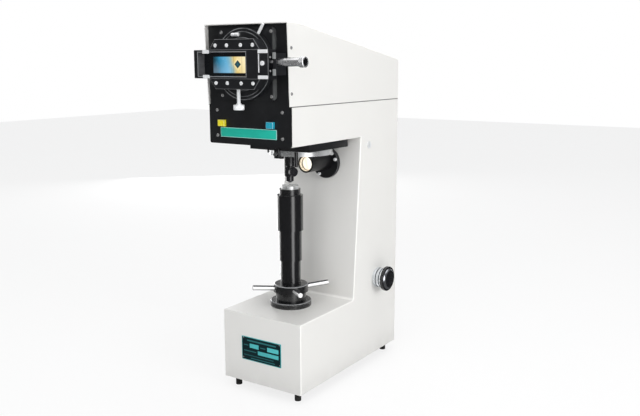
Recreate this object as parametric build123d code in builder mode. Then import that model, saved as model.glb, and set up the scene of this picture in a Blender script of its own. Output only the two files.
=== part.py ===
"""Optical hardness tester: C-shaped housing, elevating screw with anvil, swivelling
turret, measuring screen with micrometer, load selector and the loading mechanism."""
from build123d import *
import math
import os

os.makedirs("parts", exist_ok=True)

# Frame: millimetres. X to the operator's right, Y to the back, Z up.
# The origin lies on the bench, at the centre of the four feet.

# ---- housing ----
base_width = 250.0
base_length = 494.0
base_height = 186.5
throat_height = 445.5
head_height = 95.0
head_overhang = 30.0
column_setback_low = 252.8
column_setback_high = 287.5
column_root_radius = 8.0
housing_wall = 8.0
housing_edge = 3.0
cover_sheet = 2.0
cover_front_height = 193.8
cover_rear_height = 110.4
cover_flat_start = 21.0
cover_slope_start = 48.0
cover_brow_drop = 3.4
cover_screw_heights = (31.0, 136.0)
hood_reach_low = 6.2
hood_reach_high = 14.3
rear_cover_margin = 25.0
rear_cover_low = 28.0
rear_cover_high = 584.0
rear_cover_lap = 12.0
rear_cover_sheet = 3.0
louvre_inset = 55.0
louvre_height = 4.0
louvre_pitch = 12.0
louvre_count = 6
base_plate_thickness = 4.0

# ---- feet ----
foot_height = 26.0
foot_radius = 8.5
foot_inset_x = 27.5
foot_inset_y = 25.0

# ---- fits ----
running_gap = 0.3
shaft_clearance = 0.05
flat_gap = 0.5

# ---- test line and elevating screw ----
spindle_setback = 133.0
test_gap = 5.7
flange_radius = 55.0
flange_height = 14.5
flange_groove = 1.5
hub_neck_radius = 40.5
hub_neck_height = 23.5
hub_radius = 46.7
hub_height = 21.2
hub_edge = 4.0
hub_spigot_radius = 27.0
hub_spigot_length = 12.0
spoke_radius = 6.5
spoke_reach = 105.5
spoke_edge = 2.0
spoke_seat = 12.0
spoke_height_on_hub = 5.8
spoke_count = 4
spoke_angle = 49.5
spoke_tilt = 5.5
screw_radius = 19.0
screw_tail = 31.5
sleeve_wall = 2.5
outer_sleeve_radius = 34.5
outer_sleeve_length = 94.5
sleeve_cap = 3.0
middle_sleeve_radius = 30.2
middle_sleeve_showing = 82.0
inner_sleeve_radius = 26.9
sleeve_lap = 10.0
sleeve_recess = 2.0
anvil_seat_radius = 28.0
anvil_seat_height = 16.0
anvil_radius = 23.5
anvil_height = 9.3
anvil_stem_radius = 9.5
anvil_stem_length = 24.0
anvil_edge = 1.0

# ---- turret ----
station_radius = 52.0
station_spacing = 57.0
turret_plate_width = 188.0
turret_plate_thickness = 24.5
turret_plate_front_reach = 98.0
turret_plate_rear_reach = 85.0
turret_disc_radius = 84.0
turret_disc_thickness = 16.2
turret_spigot_radius = 30.0
turret_spigot_length = 20.0
turret_light_bore = 18.0
stop_pin_radius = 2.5
stop_pin_length = 14.0
stop_pin_angle = 213.0
stop_pin_clear = 3.5
detent_block_width = 15.0
detent_block_depth = 12.0
detent_block_drop = 19.0
detent_block_lap = 4.0
plunger_radius = 3.0
plunger_knob_radius = 5.0
plunger_knob_length = 6.0
plunger_travel = 5.0
handle_angle = 27.2
handle_peg_radius = 3.0
handle_peg_seat = 14.0
handle_post_radius = 5.0
handle_post_gap = 0.5
handle_post_rise = 5.0
handle_post_drop = 33.5
handle_edge = 2.0

# ---- indenter at the test station ----
holder_radius = 14.5
holder_drop = 27.0
spindle_radius = 8.0
spindle_top_recess = 1.5
stroke_gap = 2.0
chuck_length = 26.0
indenter_shank_radius = 3.2
indenter_shank_length = 18.0
indenter_radius = 10.5
indenter_body_length = 12.0
indenter_taper_length = 4.5
indenter_nose_radius = 3.5
diamond_height = 1.5
diamond_radius = 1.2
thumb_direction = 65.0
thumb_height_on_chuck = 13.0
thumb_head_radius = 12.0
thumb_head_length = 8.0
thumb_shank_radius = 3.0
thumb_head_gap = 0.4

# ---- objective at the second station ----
objective_radius = 10.0
objective_drop = 9.0
objective_nose_radius = 6.5
objective_nose_length = 5.0
objective_bore_radius = 4.0

# ---- lamp house on the column ----
lamp_offset = 20.0
lamp_height_below_head = 74.5
lamp_drum_radius = 42.0
lamp_drum_gap = 2.0
lamp_tube_rise = 7.5
lamp_tube_radius = 24.0
lamp_tube_bore = 19.5
lamp_mouth_setback = 177.0
lens_thickness = 5.0
lens_inset = 12.0
lens_crown = 3.0
bulb_radius = 8.0
bulb_base_radius = 5.0
bulb_base_length = 16.0
centring_angles = (50.0, 19.0, 240.0)
centring_pitch_radius = 36.0
centring_radius = 4.5
centring_length = 6.0

# ---- front panel ----
panel_thickness = 2.5
panel_side_gap = 0.5
panel_top_gap = 0.8
panel_low_overlap = 1.0
panel_corner = 5.0
panel_screw_inset = 25.0
panel_screw_low = 20.0
panel_screw_high = 82.3
screw_head_radius = 4.0
screw_head_height = 2.2
button_width = 21.0
button_height = 16.0
button_stand_out = 8.0
button_stem = 18.0
button_edge = 1.5
button_above_head_line = 51.0
start_button_inset = 41.5
lamp_button_inset = 58.5

# ---- measuring screen ----
screen_above_seam = 99.0
bezel_side = 170.0
bezel_corner = 12.0
bezel_thickness = 7.5
bezel_screw_inset = 10.0
ring_radius = 84.0
ring_thickness = 15.0
ring_rim_radius = 76.0
ring_rim_step = 1.5
soft_edge = 0.8
ring_bore_radius = 52.0
ring_spigot_radius = 62.0
ring_spigot_length = 6.0
lever_rod_radius = 3.5
lever_angle = 33.0
lever_seat = 12.0
lever_reach = 27.0
slide_half_height = 33.5
slide_left = 123.0
slide_right = 102.0
slide_depth = 32.0
slide_edge = 2.0
rail_height = 24.0
rail_depth = 30.0
rail_inner_half_length = 76.0
rail_outer_half_length = 58.0
rail_screw_rows = 43.7
rail_screw_inner_x = 21.0
rail_screw_outer_x = 56.0
rail_screw_radius = 4.5
window_left = 110.0
window_right = 37.0
window_half_height = 28.0
window_depth = 20.0
window_taper_x = 3.0
window_taper_z = 2.0
glass_thickness = 3.0
light_bore_height = 36.0
light_bore_width = 90.0
guide_block_left_x = -83.0
guide_block_left_length = 18.0
guide_block_right_x = 88.0
guide_block_right_length = 26.0
guide_block_height = 8.0
guide_block_depth = 3.5
guide_block_rise = 29.0
micrometer_forward = 20.0
micrometer_rise = 5.0
bracket_reach = 124.0
bracket_thickness = 8.0
bracket_half_height = 25.0
bracket_arm_thickness = 6.0
sleeve_radius = 9.0
sleeve_length = 40.0
sleeve_bore_radius = 3.6
thimble_radius = 12.5
thimble_start = 146.0
thimble_length = 51.0
thimble_cavity = 32.0
thimble_spindle_radius = 3.5
thimble_knurl_length = 14.0
thimble_edge = 1.5
zero_stem_radius = 4.5
zero_stem_seat = 14.0
zero_stem_length = 36.0
zero_cap_radius = 13.0
zero_cap_height = 13.0

# ---- load selector and lock on the right side ----
selector_setback = 382.0
selector_above_feet = 223.5
selector_dial_radius = 28.0
selector_dial_length = 27.0
selector_knob_radius = 35.0
selector_knob_length = 15.5
selector_shaft_radius = 6.0
selector_shaft_inward = 40.0
selector_knob_seat = 10.0
selector_grip_count = 12
selector_grip_radius = 3.0
lock_setback = 329.0
lock_above_feet = 608.5
lock_radius = 8.0
lock_flange_radius = 10.0
lock_flange_height = 2.0
lock_slot_width = 2.0
lock_slot_length = 9.0
lock_slot_depth = 1.2

# ---- loading mechanism ----
pivot_arm = 32.0
pivot_above_floor = 40.0
pivot_pin_radius = 6.0
lever_height = 30.0
lever_rear_height = 20.0
lever_width = 20.0
lever_front_reach = 16.0
lever_rear_reach = 15.0
lever_eye_radius = 6.0
bracket_cheek = 8.0
bracket_cheek_gap = 0.6
bracket_length = 34.0
bracket_crown = 14.0
hanger_from_rear = 69.0
hanger_rod_radius = 5.0
hanger_bar = 8.0
hanger_play = 0.5
hanger_yoke_drop = 10.0
hanger_rod_length = 330.0
hanger_plate_radius = 50.0
hanger_plate_thickness = 6.0
hanger_tail = 9.0
weight_radius = 52.0
weight_thickness = 28.0
weight_count = 4
weight_gap = 0.3
weight_slot = 12.0
load_drop = 11.5
cam_play = 0.7
cam_high_radius = 40.0
cam_thickness = 14.0
cam_shaft_beyond = 5.0
motor_shaft_seat = 8.0
cam_shaft_radius = 6.0
cam_profile_points = 48
motor_radius = 32.0
motor_length = 62.0
motor_flange = 6.0
motor_flange_radius = 40.0
pin_radius = 5.0
pin_plate_clear = 1.3
dashpot_from_hanger = 90.0
dashpot_radius = 22.0
dashpot_length = 120.0
dashpot_wall = 3.0
dashpot_floor_above_base = 300.0
dashpot_rod_radius = 4.0
dashpot_piston_radius = 18.7
dashpot_piston_height = 14.0
dashpot_piston_lift = 40.0
crossbar_height = 30.0
crossbar_depth = 60.0
transformer_width = 72.0
transformer_core_depth = 36.0
winding_inset = 6.0
transformer_depth = 62.0
transformer_height = 58.0
transformer_x = 50.0
transformer_setback = 330.0
mirror_width = 90.0
mirror_length = 96.0
mirror_thickness = 4.0
mirror_post_rise = 34.0
mirror_post_thickness = 6.0
mirror_post_depth = 70.0

# ---- places that follow from the sizes ----
half_width = base_width / 2
front_y = -base_length / 2
rear_y = base_length / 2
base_top = foot_height + base_height
head_underside = base_top + throat_height
seam = head_underside + head_height
head_front = front_y - head_overhang
column_low = front_y + column_setback_low
column_high = front_y + column_setback_high
head_floor = head_underside + housing_wall
spindle_y = front_y + spindle_setback
turret_y = spindle_y + station_radius
panel_front = head_front - panel_thickness
screen_z = seam + screen_above_seam
bezel_front = panel_front - bezel_thickness
start_button_x = start_button_inset - half_width
lamp_button_x = half_width - lamp_button_inset
ring_front = bezel_front - ring_thickness
slide_rear = ring_front - running_gap
slide_front = slide_rear - slide_depth
cover_top = seam + cover_front_height
column_slope = (column_high - column_low) / throat_height


def level(height, x=0.0, y=0.0):
    """Horizontal plane at a height, looking up."""
    return Plane(origin=(x, y, height), x_dir=(1, 0, 0), z_dir=(0, 0, 1))


def looking_front(y, x=0.0, z=0.0):
    """Upright plane whose normal points to the operator."""
    return Plane(origin=(x, y, z), x_dir=(1, 0, 0), z_dir=(0, -1, 0))


def looking_rear(y, x=0.0, z=0.0):
    """Upright plane whose normal points to the back."""
    return Plane(origin=(x, y, z), x_dir=(-1, 0, 0), z_dir=(0, 1, 0))


def looking_right(x, y=0.0, z=0.0):
    """Upright plane whose normal points to the operator's right."""
    return Plane(origin=(x, y, z), x_dir=(0, 1, 0), z_dir=(1, 0, 0))


def around(x, y):
    """Plane for turned profiles written as (radius, height), and its upright axis."""
    return looking_front(y, x), Axis((x, y, 0), (0, 0, 1))


def turn(profile, plane_and_axis, mode=Mode.ADD):
    """Revolve a closed profile into the part that is being built."""
    plane, axis = plane_and_axis
    with BuildSketch(plane) as section:
        with BuildLine():
            Polyline(*profile, close=True)
        make_face()
    revolve(section.sketch, axis=axis, mode=mode)


def round_bar(plane, radius, length, mode=Mode.ADD):
    """Straight round bar, or a bore when it is subtracted."""
    with BuildSketch(plane) as section:
        Circle(radius)
    extrude(section.sketch, amount=length, mode=mode)


def ring_bar(plane, radius, bore, length, mode=Mode.ADD):
    """Straight tube, or a ring-shaped pocket when it is subtracted."""
    with BuildSketch(plane) as section:
        Circle(radius)
        Circle(bore, mode=Mode.SUBTRACT)
    extrude(section.sketch, amount=length, mode=mode)


def flat_bar(plane, width, height, length, mode=Mode.ADD):
    """Straight rectangular bar, or a pocket when it is subtracted."""
    with BuildSketch(plane) as section:
        Rectangle(width, height)
    extrude(section.sketch, amount=length, mode=mode)


def outline(plane, points, length, both=False, mode=Mode.ADD):
    """Extrude a closed outline."""
    with BuildSketch(plane) as section:
        with BuildLine():
            Polyline(*points, close=True)
        make_face()
    extrude(section.sketch, amount=length, both=both, mode=mode)


def column_front_at(height):
    """Y of the column's slanting front face at a height."""
    return column_low + column_slope * (height - base_top)


# ================= housing =================
with BuildPart() as main_housing:
    with BuildSketch(looking_right(0)) as side_view:
        with BuildLine():
            Polyline(
                (front_y, foot_height),
                (rear_y, foot_height),
                (rear_y, seam),
                (head_front, seam),
                (head_front, head_underside),
                (column_high, head_underside),
                (column_low, base_top),
                (front_y, base_top),
                close=True,
            )
        make_face()
        column_root = side_view.vertices().sort_by_distance((column_low, base_top, 0))[0]
        fillet(column_root, radius=column_root_radius)
    extrude(amount=half_width, both=True)
    side_faces = main_housing.faces().filter_by(Axis.X)
    fillet(side_faces.edges(), radius=housing_edge)
    # the head and column are one cavity, open at the seam and under the base
    inner_half = half_width - housing_wall
    outline(
        looking_right(0),
        (
            (front_y + housing_wall, foot_height),
            (rear_y - housing_wall, foot_height),
            (rear_y - housing_wall, seam),
            (head_front + housing_wall, seam),
            (head_front + housing_wall, head_floor),
            (column_high + housing_wall, head_floor),
            (column_low + column_root_radius / 2 + housing_wall, base_top - housing_wall),
            (front_y + housing_wall, base_top - housing_wall),
        ),
        inner_half,
        both=True,
        mode=Mode.SUBTRACT,
    )
    # a cross web between the side walls carries the dashpot
    hanger_y = rear_y - hanger_from_rear
    dashpot_y = hanger_y - dashpot_from_hanger
    dashpot_floor = base_top + dashpot_floor_above_base
    crossbar_bottom = dashpot_floor + (dashpot_length - crossbar_height) / 2
    flat_bar(level(crossbar_bottom, 0, dashpot_y), 2 * inner_half, crossbar_depth, crossbar_height)
    round_bar(level(crossbar_bottom, 0, dashpot_y), dashpot_radius, crossbar_height, Mode.SUBTRACT)
    # opening at the back, through which the weights are set
    opening_width = base_width - 2 * rear_cover_margin
    opening_height = rear_cover_high - rear_cover_low
    opening_z = foot_height + (rear_cover_high + rear_cover_low) / 2
    flat_bar(
        looking_rear(rear_y - housing_wall, 0, opening_z),
        opening_width,
        opening_height,
        housing_wall,
        Mode.SUBTRACT,
    )
    # bores for the elevating screw, the turret, the selector shaft and the lock
    round_bar(level(base_top, 0, spindle_y), hub_spigot_radius + running_gap, -housing_wall, Mode.SUBTRACT)
    turret_bore = turret_spigot_radius + flat_gap
    round_bar(level(head_underside, 0, turret_y), turret_bore, housing_wall, Mode.SUBTRACT)
    round_bar(level(head_underside, 0, spindle_y), pin_radius + flat_gap, housing_wall, Mode.SUBTRACT)
    selector_y = front_y + selector_setback
    selector_z = foot_height + selector_above_feet
    round_bar(
        looking_right(half_width, selector_y, selector_z),
        selector_shaft_radius + shaft_clearance,
        -housing_wall,
        Mode.SUBTRACT,
    )
    lock_y = front_y + lock_setback
    lock_z = foot_height + lock_above_feet
    round_bar(
        looking_right(half_width, lock_y, lock_z),
        lock_radius + shaft_clearance,
        -housing_wall,
        Mode.SUBTRACT,
    )
    # openings behind the two buttons
    button_z = head_underside + button_above_head_line
    for button_x in (start_button_x, lamp_button_x):
        flat_bar(
            looking_front(head_front, button_x, button_z),
            button_width + 2 * flat_gap,
            button_height + 2 * flat_gap,
            -housing_wall,
            Mode.SUBTRACT,
        )
main_housing.part.label = "main_housing"
export_step(main_housing.part, "parts/main_housing.step")

cover_side = (
    (head_front - hood_reach_low, seam),
    (rear_y, seam),
    (rear_y, seam + cover_rear_height),
    (head_front + cover_slope_start, cover_top - cover_brow_drop),
    (head_front + cover_flat_start, cover_top),
    (head_front - hood_reach_high, cover_top),
)
with BuildPart() as upper_cover:
    outline(looking_right(0), cover_side, half_width, both=True)
    cover_rim = upper_cover.faces().filter_by(Axis.X).edges()
    cover_rim = cover_rim.filter_by_position(Axis.Z, seam + housing_edge, cover_top + housing_edge)
    fillet(cover_rim.filter_by_position(Axis.Y, head_front, rear_y), radius=housing_edge)
    outline(
        looking_right(0),
        (
            (head_front - hood_reach_high, seam),
            (rear_y - cover_sheet, seam),
            (rear_y - cover_sheet, seam + cover_rear_height - cover_sheet),
            (head_front + cover_slope_start, cover_side[3][1] - cover_sheet),
            (head_front + cover_flat_start, cover_top - cover_sheet),
            (head_front - hood_reach_high, cover_top - cover_sheet),
        ),
        half_width - cover_sheet,
        both=True,
        mode=Mode.SUBTRACT,
    )
upper_cover.part.label = "upper_cover"
export_step(upper_cover.part, "parts/upper_cover.step")

with BuildPart() as rear_cover:
    flat_bar(
        looking_rear(rear_y, 0, opening_z),
        opening_width + 2 * rear_cover_lap,
        opening_height + 2 * rear_cover_lap,
        rear_cover_sheet,
    )
    fillet(rear_cover.edges().filter_by(Axis.Y), radius=panel_corner)
    # louvres let the lamp's heat out
    louvre_plane = looking_rear(rear_y, 0, opening_z + opening_height / 3)
    with BuildSketch(louvre_plane) as louvres:
        with GridLocations(0, louvre_pitch, 1, louvre_count):
            SlotOverall(opening_width - 2 * louvre_inset, louvre_height)
    extrude(louvres.sketch, amount=rear_cover_sheet, mode=Mode.SUBTRACT)
rear_cover.part.label = "rear_cover"
export_step(rear_cover.part, "parts/rear_cover.step")

with BuildPart() as base_plate:
    flat_bar(
        level(foot_height, 0, 0),
        2 * inner_half,
        base_length - 2 * housing_wall,
        base_plate_thickness,
    )
base_plate.part.label = "base_plate"
export_step(base_plate.part, "parts/base_plate.step")

foot_pitch_x = base_width - 2 * foot_inset_x
foot_pitch_y = base_length - 2 * foot_inset_y
with BuildPart() as levelling_feet:
    with BuildSketch(level(0)) as foot_pads:
        with GridLocations(foot_pitch_x, foot_pitch_y, 2, 2):
            Circle(foot_radius)
    extrude(foot_pads.sketch, amount=foot_height)
levelling_feet.part.label = "levelling_feet"
export_step(levelling_feet.part, "parts/levelling_feet.step")

# ================= front panel and buttons =================
inside_cover = half_width - cover_sheet - panel_side_gap
panel_low_half_width = half_width + panel_low_overlap
panel_top = cover_top - cover_sheet - panel_top_gap
with BuildPart() as front_panel:
    outline(
        looking_front(head_front),
        (
            (-panel_low_half_width, head_underside),
            (panel_low_half_width, head_underside),
            (panel_low_half_width, seam),
            (inside_cover, seam),
            (inside_cover, panel_top),
            (-inside_cover, panel_top),
            (-inside_cover, seam),
            (-panel_low_half_width, seam),
        ),
        panel_thickness,
    )
    bottom_corners = front_panel.edges().filter_by(Axis.Y).group_by(Axis.Z)[0]
    fillet(bottom_corners, radius=panel_corner)
    ring_hole = ring_spigot_radius + running_gap
    round_bar(looking_front(head_front, 0, screen_z), ring_hole, panel_thickness, Mode.SUBTRACT)
    for button_x in (start_button_x, lamp_button_x):
        flat_bar(
            looking_front(head_front, button_x, button_z),
            button_width + 2 * running_gap,
            button_height + 2 * running_gap,
            panel_thickness,
            Mode.SUBTRACT,
        )
front_panel.part.label = "front_panel"
export_step(front_panel.part, "parts/front_panel.step")

with BuildPart() as start_button:
    flat_bar(
        looking_front(panel_front + button_stem, start_button_x, button_z),
        button_width,
        button_height,
        button_stem + button_stand_out,
    )
    fillet(start_button.faces().sort_by(Axis.Y)[0].edges(), radius=button_edge)
start_button.part.label = "start_button"
export_step(start_button.part, "parts/start_button.step")

with BuildPart() as lamp_button:
    flat_bar(
        looking_front(panel_front + button_stem, lamp_button_x, button_z),
        button_width,
        button_height,
        button_stem + button_stand_out,
    )
    fillet(lamp_button.faces().sort_by(Axis.Y)[0].edges(), radius=button_edge)
lamp_button.part.label = "lamp_button"
export_step(lamp_button.part, "parts/lamp_button.step")

# ================= measuring screen =================
with BuildPart() as bezel_plate:
    with BuildSketch(looking_front(panel_front, 0, screen_z)) as bezel_face:
        RectangleRounded(bezel_side, bezel_side, bezel_corner)
        Circle(ring_spigot_radius + running_gap, mode=Mode.SUBTRACT)
    extrude(bezel_face.sketch, amount=bezel_thickness - running_gap)
bezel_plate.part.label = "bezel_plate"
export_step(bezel_plate.part, "parts/bezel_plate.step")

lever_direction = Plane(
    origin=(0, ring_front + ring_rim_step + flat_gap + lever_rod_radius, screen_z),
    x_dir=(0, 1, 0),
    z_dir=(math.sin(math.radians(lever_angle)), 0, math.cos(math.radians(lever_angle))),
)
with BuildPart() as screen_ring:
    with BuildSketch(looking_front(bezel_front, 0, screen_z)) as ring_face:
        Circle(ring_radius)
        Circle(ring_bore_radius, mode=Mode.SUBTRACT)
    extrude(ring_face.sketch, amount=ring_thickness)
    ring_front_plane = looking_front(ring_front, 0, screen_z)
    ring_bar(ring_front_plane, ring_radius, ring_rim_radius, -ring_rim_step, Mode.SUBTRACT)
    ring_bar(
        looking_rear(bezel_front, 0, screen_z), ring_spigot_radius, ring_bore_radius, ring_spigot_length
    )
    round_bar(lever_direction.offset(ring_radius - lever_seat), lever_rod_radius, lever_seat, Mode.SUBTRACT)
screen_ring.part.label = "screen_ring"
export_step(screen_ring.part, "parts/screen_ring.step")

with BuildPart() as ring_lever:
    round_bar(lever_direction.offset(ring_radius - lever_seat), lever_rod_radius, lever_seat + lever_reach)
    lever_tip = ring_lever.faces().sort_by(Axis.Z)[-1]
    fillet(lever_tip.edges(), radius=lever_rod_radius / 2)
ring_lever.part.label = "ring_lever"
export_step(ring_lever.part, "parts/ring_lever.step")

# each rail is a bar with its outer corners cut off to stay inside the ring
with BuildPart() as guide_rails:
    rail_inner = slide_half_height + running_gap
    for side in (1, -1):
        with BuildSketch(looking_front(ring_front, 0, screen_z)) as rail_face:
            with BuildLine():
                Polyline(
                    (-rail_inner_half_length, side * rail_inner),
                    (rail_inner_half_length, side * rail_inner),
                    (rail_outer_half_length, side * (rail_inner + rail_height)),
                    (-rail_outer_half_length, side * (rail_inner + rail_height)),
                    close=True,
                )
            make_face()
        extrude(rail_face.sketch, amount=rail_depth)
    rail_fronts = guide_rails.faces().filter_by(Axis.Y).group_by(Axis.Y)[0]
    chamfer(rail_fronts.edges(), length=soft_edge)
    zero_y = ring_front - rail_depth / 2
    round_bar(
        level(screen_z - rail_inner - rail_height, 0, zero_y),
        zero_stem_radius + shaft_clearance,
        zero_stem_seat,
        Mode.SUBTRACT,
    )
guide_rails.part.label = "guide_rails"
export_step(guide_rails.part, "parts/guide_rails.step")

with BuildPart() as rail_screws:
    screw_columns = [(x * side, row) for x in (rail_screw_inner_x, rail_screw_outer_x) for side in (1, -1)
                     for row in (rail_screw_rows, -rail_screw_rows)]
    with BuildSketch(looking_front(ring_front - rail_depth, 0, screen_z)) as rail_heads:
        with Locations(*screw_columns):
            Circle(rail_screw_radius)
    extrude(rail_heads.sketch, amount=screw_head_height)
rail_screws.part.label = "rail_screws"
export_step(rail_screws.part, "parts/rail_screws.step")

slide_length = slide_left + slide_right
slide_middle = (slide_right - slide_left) / 2
window_middle = (window_right - window_left) / 2
window_length = window_left + window_right
with BuildPart() as slide_frame:
    slide_block_plane = looking_front(slide_rear, slide_middle, screen_z)
    flat_bar(slide_block_plane, slide_length, 2 * slide_half_height, slide_depth)
    fillet(slide_frame.edges().filter_by(Axis.Y), radius=slide_edge)
    chamfer(slide_frame.faces().sort_by(Axis.Y)[0].edges(), length=soft_edge)
    # the window narrows inwards to the glass
    with BuildSketch(looking_front(slide_front, window_middle, screen_z)):
        Rectangle(window_length, 2 * window_half_height)
    with BuildSketch(looking_front(slide_front + window_depth, window_middle, screen_z)):
        Rectangle(window_length - 2 * window_taper_x, 2 * (window_half_height - window_taper_z))
    loft(mode=Mode.SUBTRACT)
    flat_bar(
        looking_front(slide_front + window_depth, window_middle, screen_z),
        window_length - 2 * window_taper_x,
        2 * (window_half_height - window_taper_z),
        -glass_thickness,
        Mode.SUBTRACT,
    )
    flat_bar(
        looking_front(slide_rear, 0, screen_z),
        light_bore_width,
        light_bore_height,
        slide_depth - window_depth,
        Mode.SUBTRACT,
    )
slide_frame.part.label = "slide_frame"
export_step(slide_frame.part, "parts/slide_frame.step")

with BuildPart() as screen_glass:
    flat_bar(
        looking_front(slide_front + window_depth, window_middle, screen_z),
        window_length - 2 * window_taper_x,
        2 * (window_half_height - window_taper_z),
        -glass_thickness,
    )
screen_glass.part.label = "screen_glass"
export_step(screen_glass.part, "parts/screen_glass.step")

with BuildPart() as guide_blocks:
    for rise in (guide_block_rise, -guide_block_rise):
        for block_x, block_length in (
            (guide_block_left_x, guide_block_left_length),
            (guide_block_right_x, guide_block_right_length),
        ):
            flat_bar(
                looking_front(slide_front, block_x, screen_z + rise),
                block_length,
                guide_block_height,
                guide_block_depth,
            )
guide_blocks.part.label = "guide_blocks"
export_step(guide_blocks.part, "parts/guide_blocks.step")

# ---- micrometer, carried by a bracket on the ring ----
micrometer_y = slide_rear - micrometer_forward
micrometer_z = screen_z + micrometer_rise
bracket_rear = slide_rear + running_gap + bracket_arm_thickness
bracket_depth = bracket_rear - slide_front
with BuildPart() as micrometer_bracket:
    # the arm meets the ring's rim, and stays behind the slide
    flat_bar(
        looking_front(bracket_rear, bracket_reach / 2, screen_z),
        bracket_reach,
        2 * bracket_half_height,
        bracket_arm_thickness,
    )
    round_bar(looking_front(bezel_front, 0, screen_z), ring_radius, ring_thickness, Mode.SUBTRACT)
    flat_bar(
        looking_right(bracket_reach - bracket_thickness, bracket_rear - bracket_depth / 2, screen_z),
        bracket_depth,
        2 * bracket_half_height,
        bracket_thickness,
    )
    round_bar(
        looking_right(bracket_reach - bracket_thickness, micrometer_y, micrometer_z),
        sleeve_radius,
        bracket_thickness,
        Mode.SUBTRACT,
    )
micrometer_bracket.part.label = "micrometer_bracket"
export_step(micrometer_bracket.part, "parts/micrometer_bracket.step")

sleeve_start = bracket_reach - bracket_thickness
with BuildPart() as micrometer_sleeve:
    sleeve_plane = looking_right(sleeve_start, micrometer_y, micrometer_z)
    ring_bar(sleeve_plane, sleeve_radius, sleeve_bore_radius, sleeve_length)
micrometer_sleeve.part.label = "micrometer_sleeve"
export_step(micrometer_sleeve.part, "parts/micrometer_sleeve.step")

thimble_end = thimble_start + thimble_length
with BuildPart() as micrometer_thimble:
    round_bar(looking_right(thimble_start, micrometer_y, micrometer_z), thimble_radius, thimble_length)
    fillet(micrometer_thimble.faces().sort_by(Axis.X)[-1].edges(), radius=thimble_edge)
    round_bar(
        looking_right(thimble_start, micrometer_y, micrometer_z),
        sleeve_radius + running_gap,
        thimble_cavity,
        Mode.SUBTRACT,
    )
    round_bar(
        looking_right(slide_right + running_gap, micrometer_y, micrometer_z),
        thimble_spindle_radius,
        thimble_start + thimble_cavity - slide_right,
    )
micrometer_thimble.part.label = "micrometer_thimble"
export_step(micrometer_thimble.part, "parts/micrometer_thimble.step")

zero_top = screen_z - rail_inner - rail_height + zero_stem_seat - running_gap
with BuildPart() as zero_screw:
    round_bar(level(zero_top, 0, zero_y), zero_stem_radius, -(zero_stem_seat + zero_stem_length))
    zero_cap_top = zero_top - zero_stem_seat - zero_stem_length
    round_bar(level(zero_cap_top, 0, zero_y), zero_cap_radius, -zero_cap_height)
    zero_cap_faces = zero_screw.faces().filter_by(Axis.Z).sort_by(Axis.Z)
    fillet(zero_cap_faces[0].edges(), radius=thimble_edge)
zero_screw.part.label = "zero_screw"
export_step(zero_screw.part, "parts/zero_screw.step")

# ================= turret =================
plate_bottom = head_underside - turret_plate_thickness
disc_top = plate_bottom - running_gap
disc_bottom = disc_top - turret_disc_thickness
plate_length = turret_plate_front_reach + turret_plate_rear_reach
plate_middle_y = turret_y + (turret_plate_rear_reach - turret_plate_front_reach) / 2
plate_front = turret_y - turret_plate_front_reach
stop_radius = turret_disc_radius + stop_pin_clear
stop_x = stop_radius * math.cos(math.radians(stop_pin_angle))
stop_y = turret_y + stop_radius * math.sin(math.radians(stop_pin_angle))
with BuildPart() as turret_plate:
    flat_bar(level(plate_bottom, 0, plate_middle_y), turret_plate_width, plate_length, turret_plate_thickness)
    round_bar(
        level(plate_bottom, 0, turret_y),
        turret_spigot_radius + shaft_clearance,
        turret_plate_thickness,
        Mode.SUBTRACT,
    )
    round_bar(
        level(plate_bottom, 0, spindle_y), pin_radius + shaft_clearance, turret_plate_thickness, Mode.SUBTRACT
    )
    round_bar(level(plate_bottom, stop_x, stop_y), stop_pin_radius, -stop_pin_length)
turret_plate.part.label = "turret_plate"
export_step(turret_plate.part, "parts/turret_plate.step")

plunger_z = disc_bottom + turret_disc_thickness / 2
with BuildPart() as detent_block:
    block_height = detent_block_drop + detent_block_lap
    flat_bar(
        looking_front(plate_front, 0, plate_bottom + detent_block_lap - block_height / 2),
        detent_block_width,
        block_height,
        detent_block_depth,
    )
    fillet(detent_block.edges().filter_by(Axis.Z).group_by(Axis.Y)[0], radius=anvil_edge)
    round_bar(
        looking_front(plate_front, 0, plunger_z),
        plunger_radius + shaft_clearance,
        detent_block_depth,
        Mode.SUBTRACT,
    )
detent_block.part.label = "detent_block"
export_step(detent_block.part, "parts/detent_block.step")

with BuildPart() as detent_plunger:
    plunger_tip = turret_y - turret_disc_radius - running_gap
    plunger_knob_y = plate_front - detent_block_depth - running_gap
    round_bar(looking_front(plunger_tip, 0, plunger_z), plunger_radius, plunger_tip - plunger_knob_y)
    round_bar(looking_front(plunger_knob_y, 0, plunger_z), plunger_knob_radius, plunger_knob_length)
detent_plunger.part.label = "detent_plunger"
export_step(detent_plunger.part, "parts/detent_plunger.step")

second_angle = math.radians(-90.0 - station_spacing)
second_x = station_radius * math.cos(second_angle)
second_y = turret_y + station_radius * math.sin(second_angle)
handle_bearing = math.radians(handle_angle - 90.0)
handle_direction = (math.cos(handle_bearing), math.sin(handle_bearing), 0)
handle_plane = Plane(origin=(0, turret_y, plunger_z), x_dir=(0, 0, 1), z_dir=handle_direction)
with BuildPart() as turret_disc:
    round_bar(level(disc_bottom, 0, turret_y), turret_disc_radius, turret_disc_thickness)
    round_bar(level(disc_top, 0, turret_y), turret_spigot_radius, turret_spigot_length)
    round_bar(
        level(disc_bottom, 0, turret_y),
        turret_light_bore,
        turret_disc_thickness + turret_spigot_length,
        Mode.SUBTRACT,
    )
    round_bar(level(disc_bottom, 0, spindle_y), holder_radius, turret_disc_thickness, Mode.SUBTRACT)
    round_bar(level(disc_bottom, second_x, second_y), objective_radius, turret_disc_thickness, Mode.SUBTRACT)
    round_bar(
        handle_plane.offset(turret_disc_radius - handle_peg_seat),
        handle_peg_radius,
        handle_peg_seat,
        Mode.SUBTRACT,
    )
turret_disc.part.label = "turret_disc"
export_step(turret_disc.part, "parts/turret_disc.step")

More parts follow.
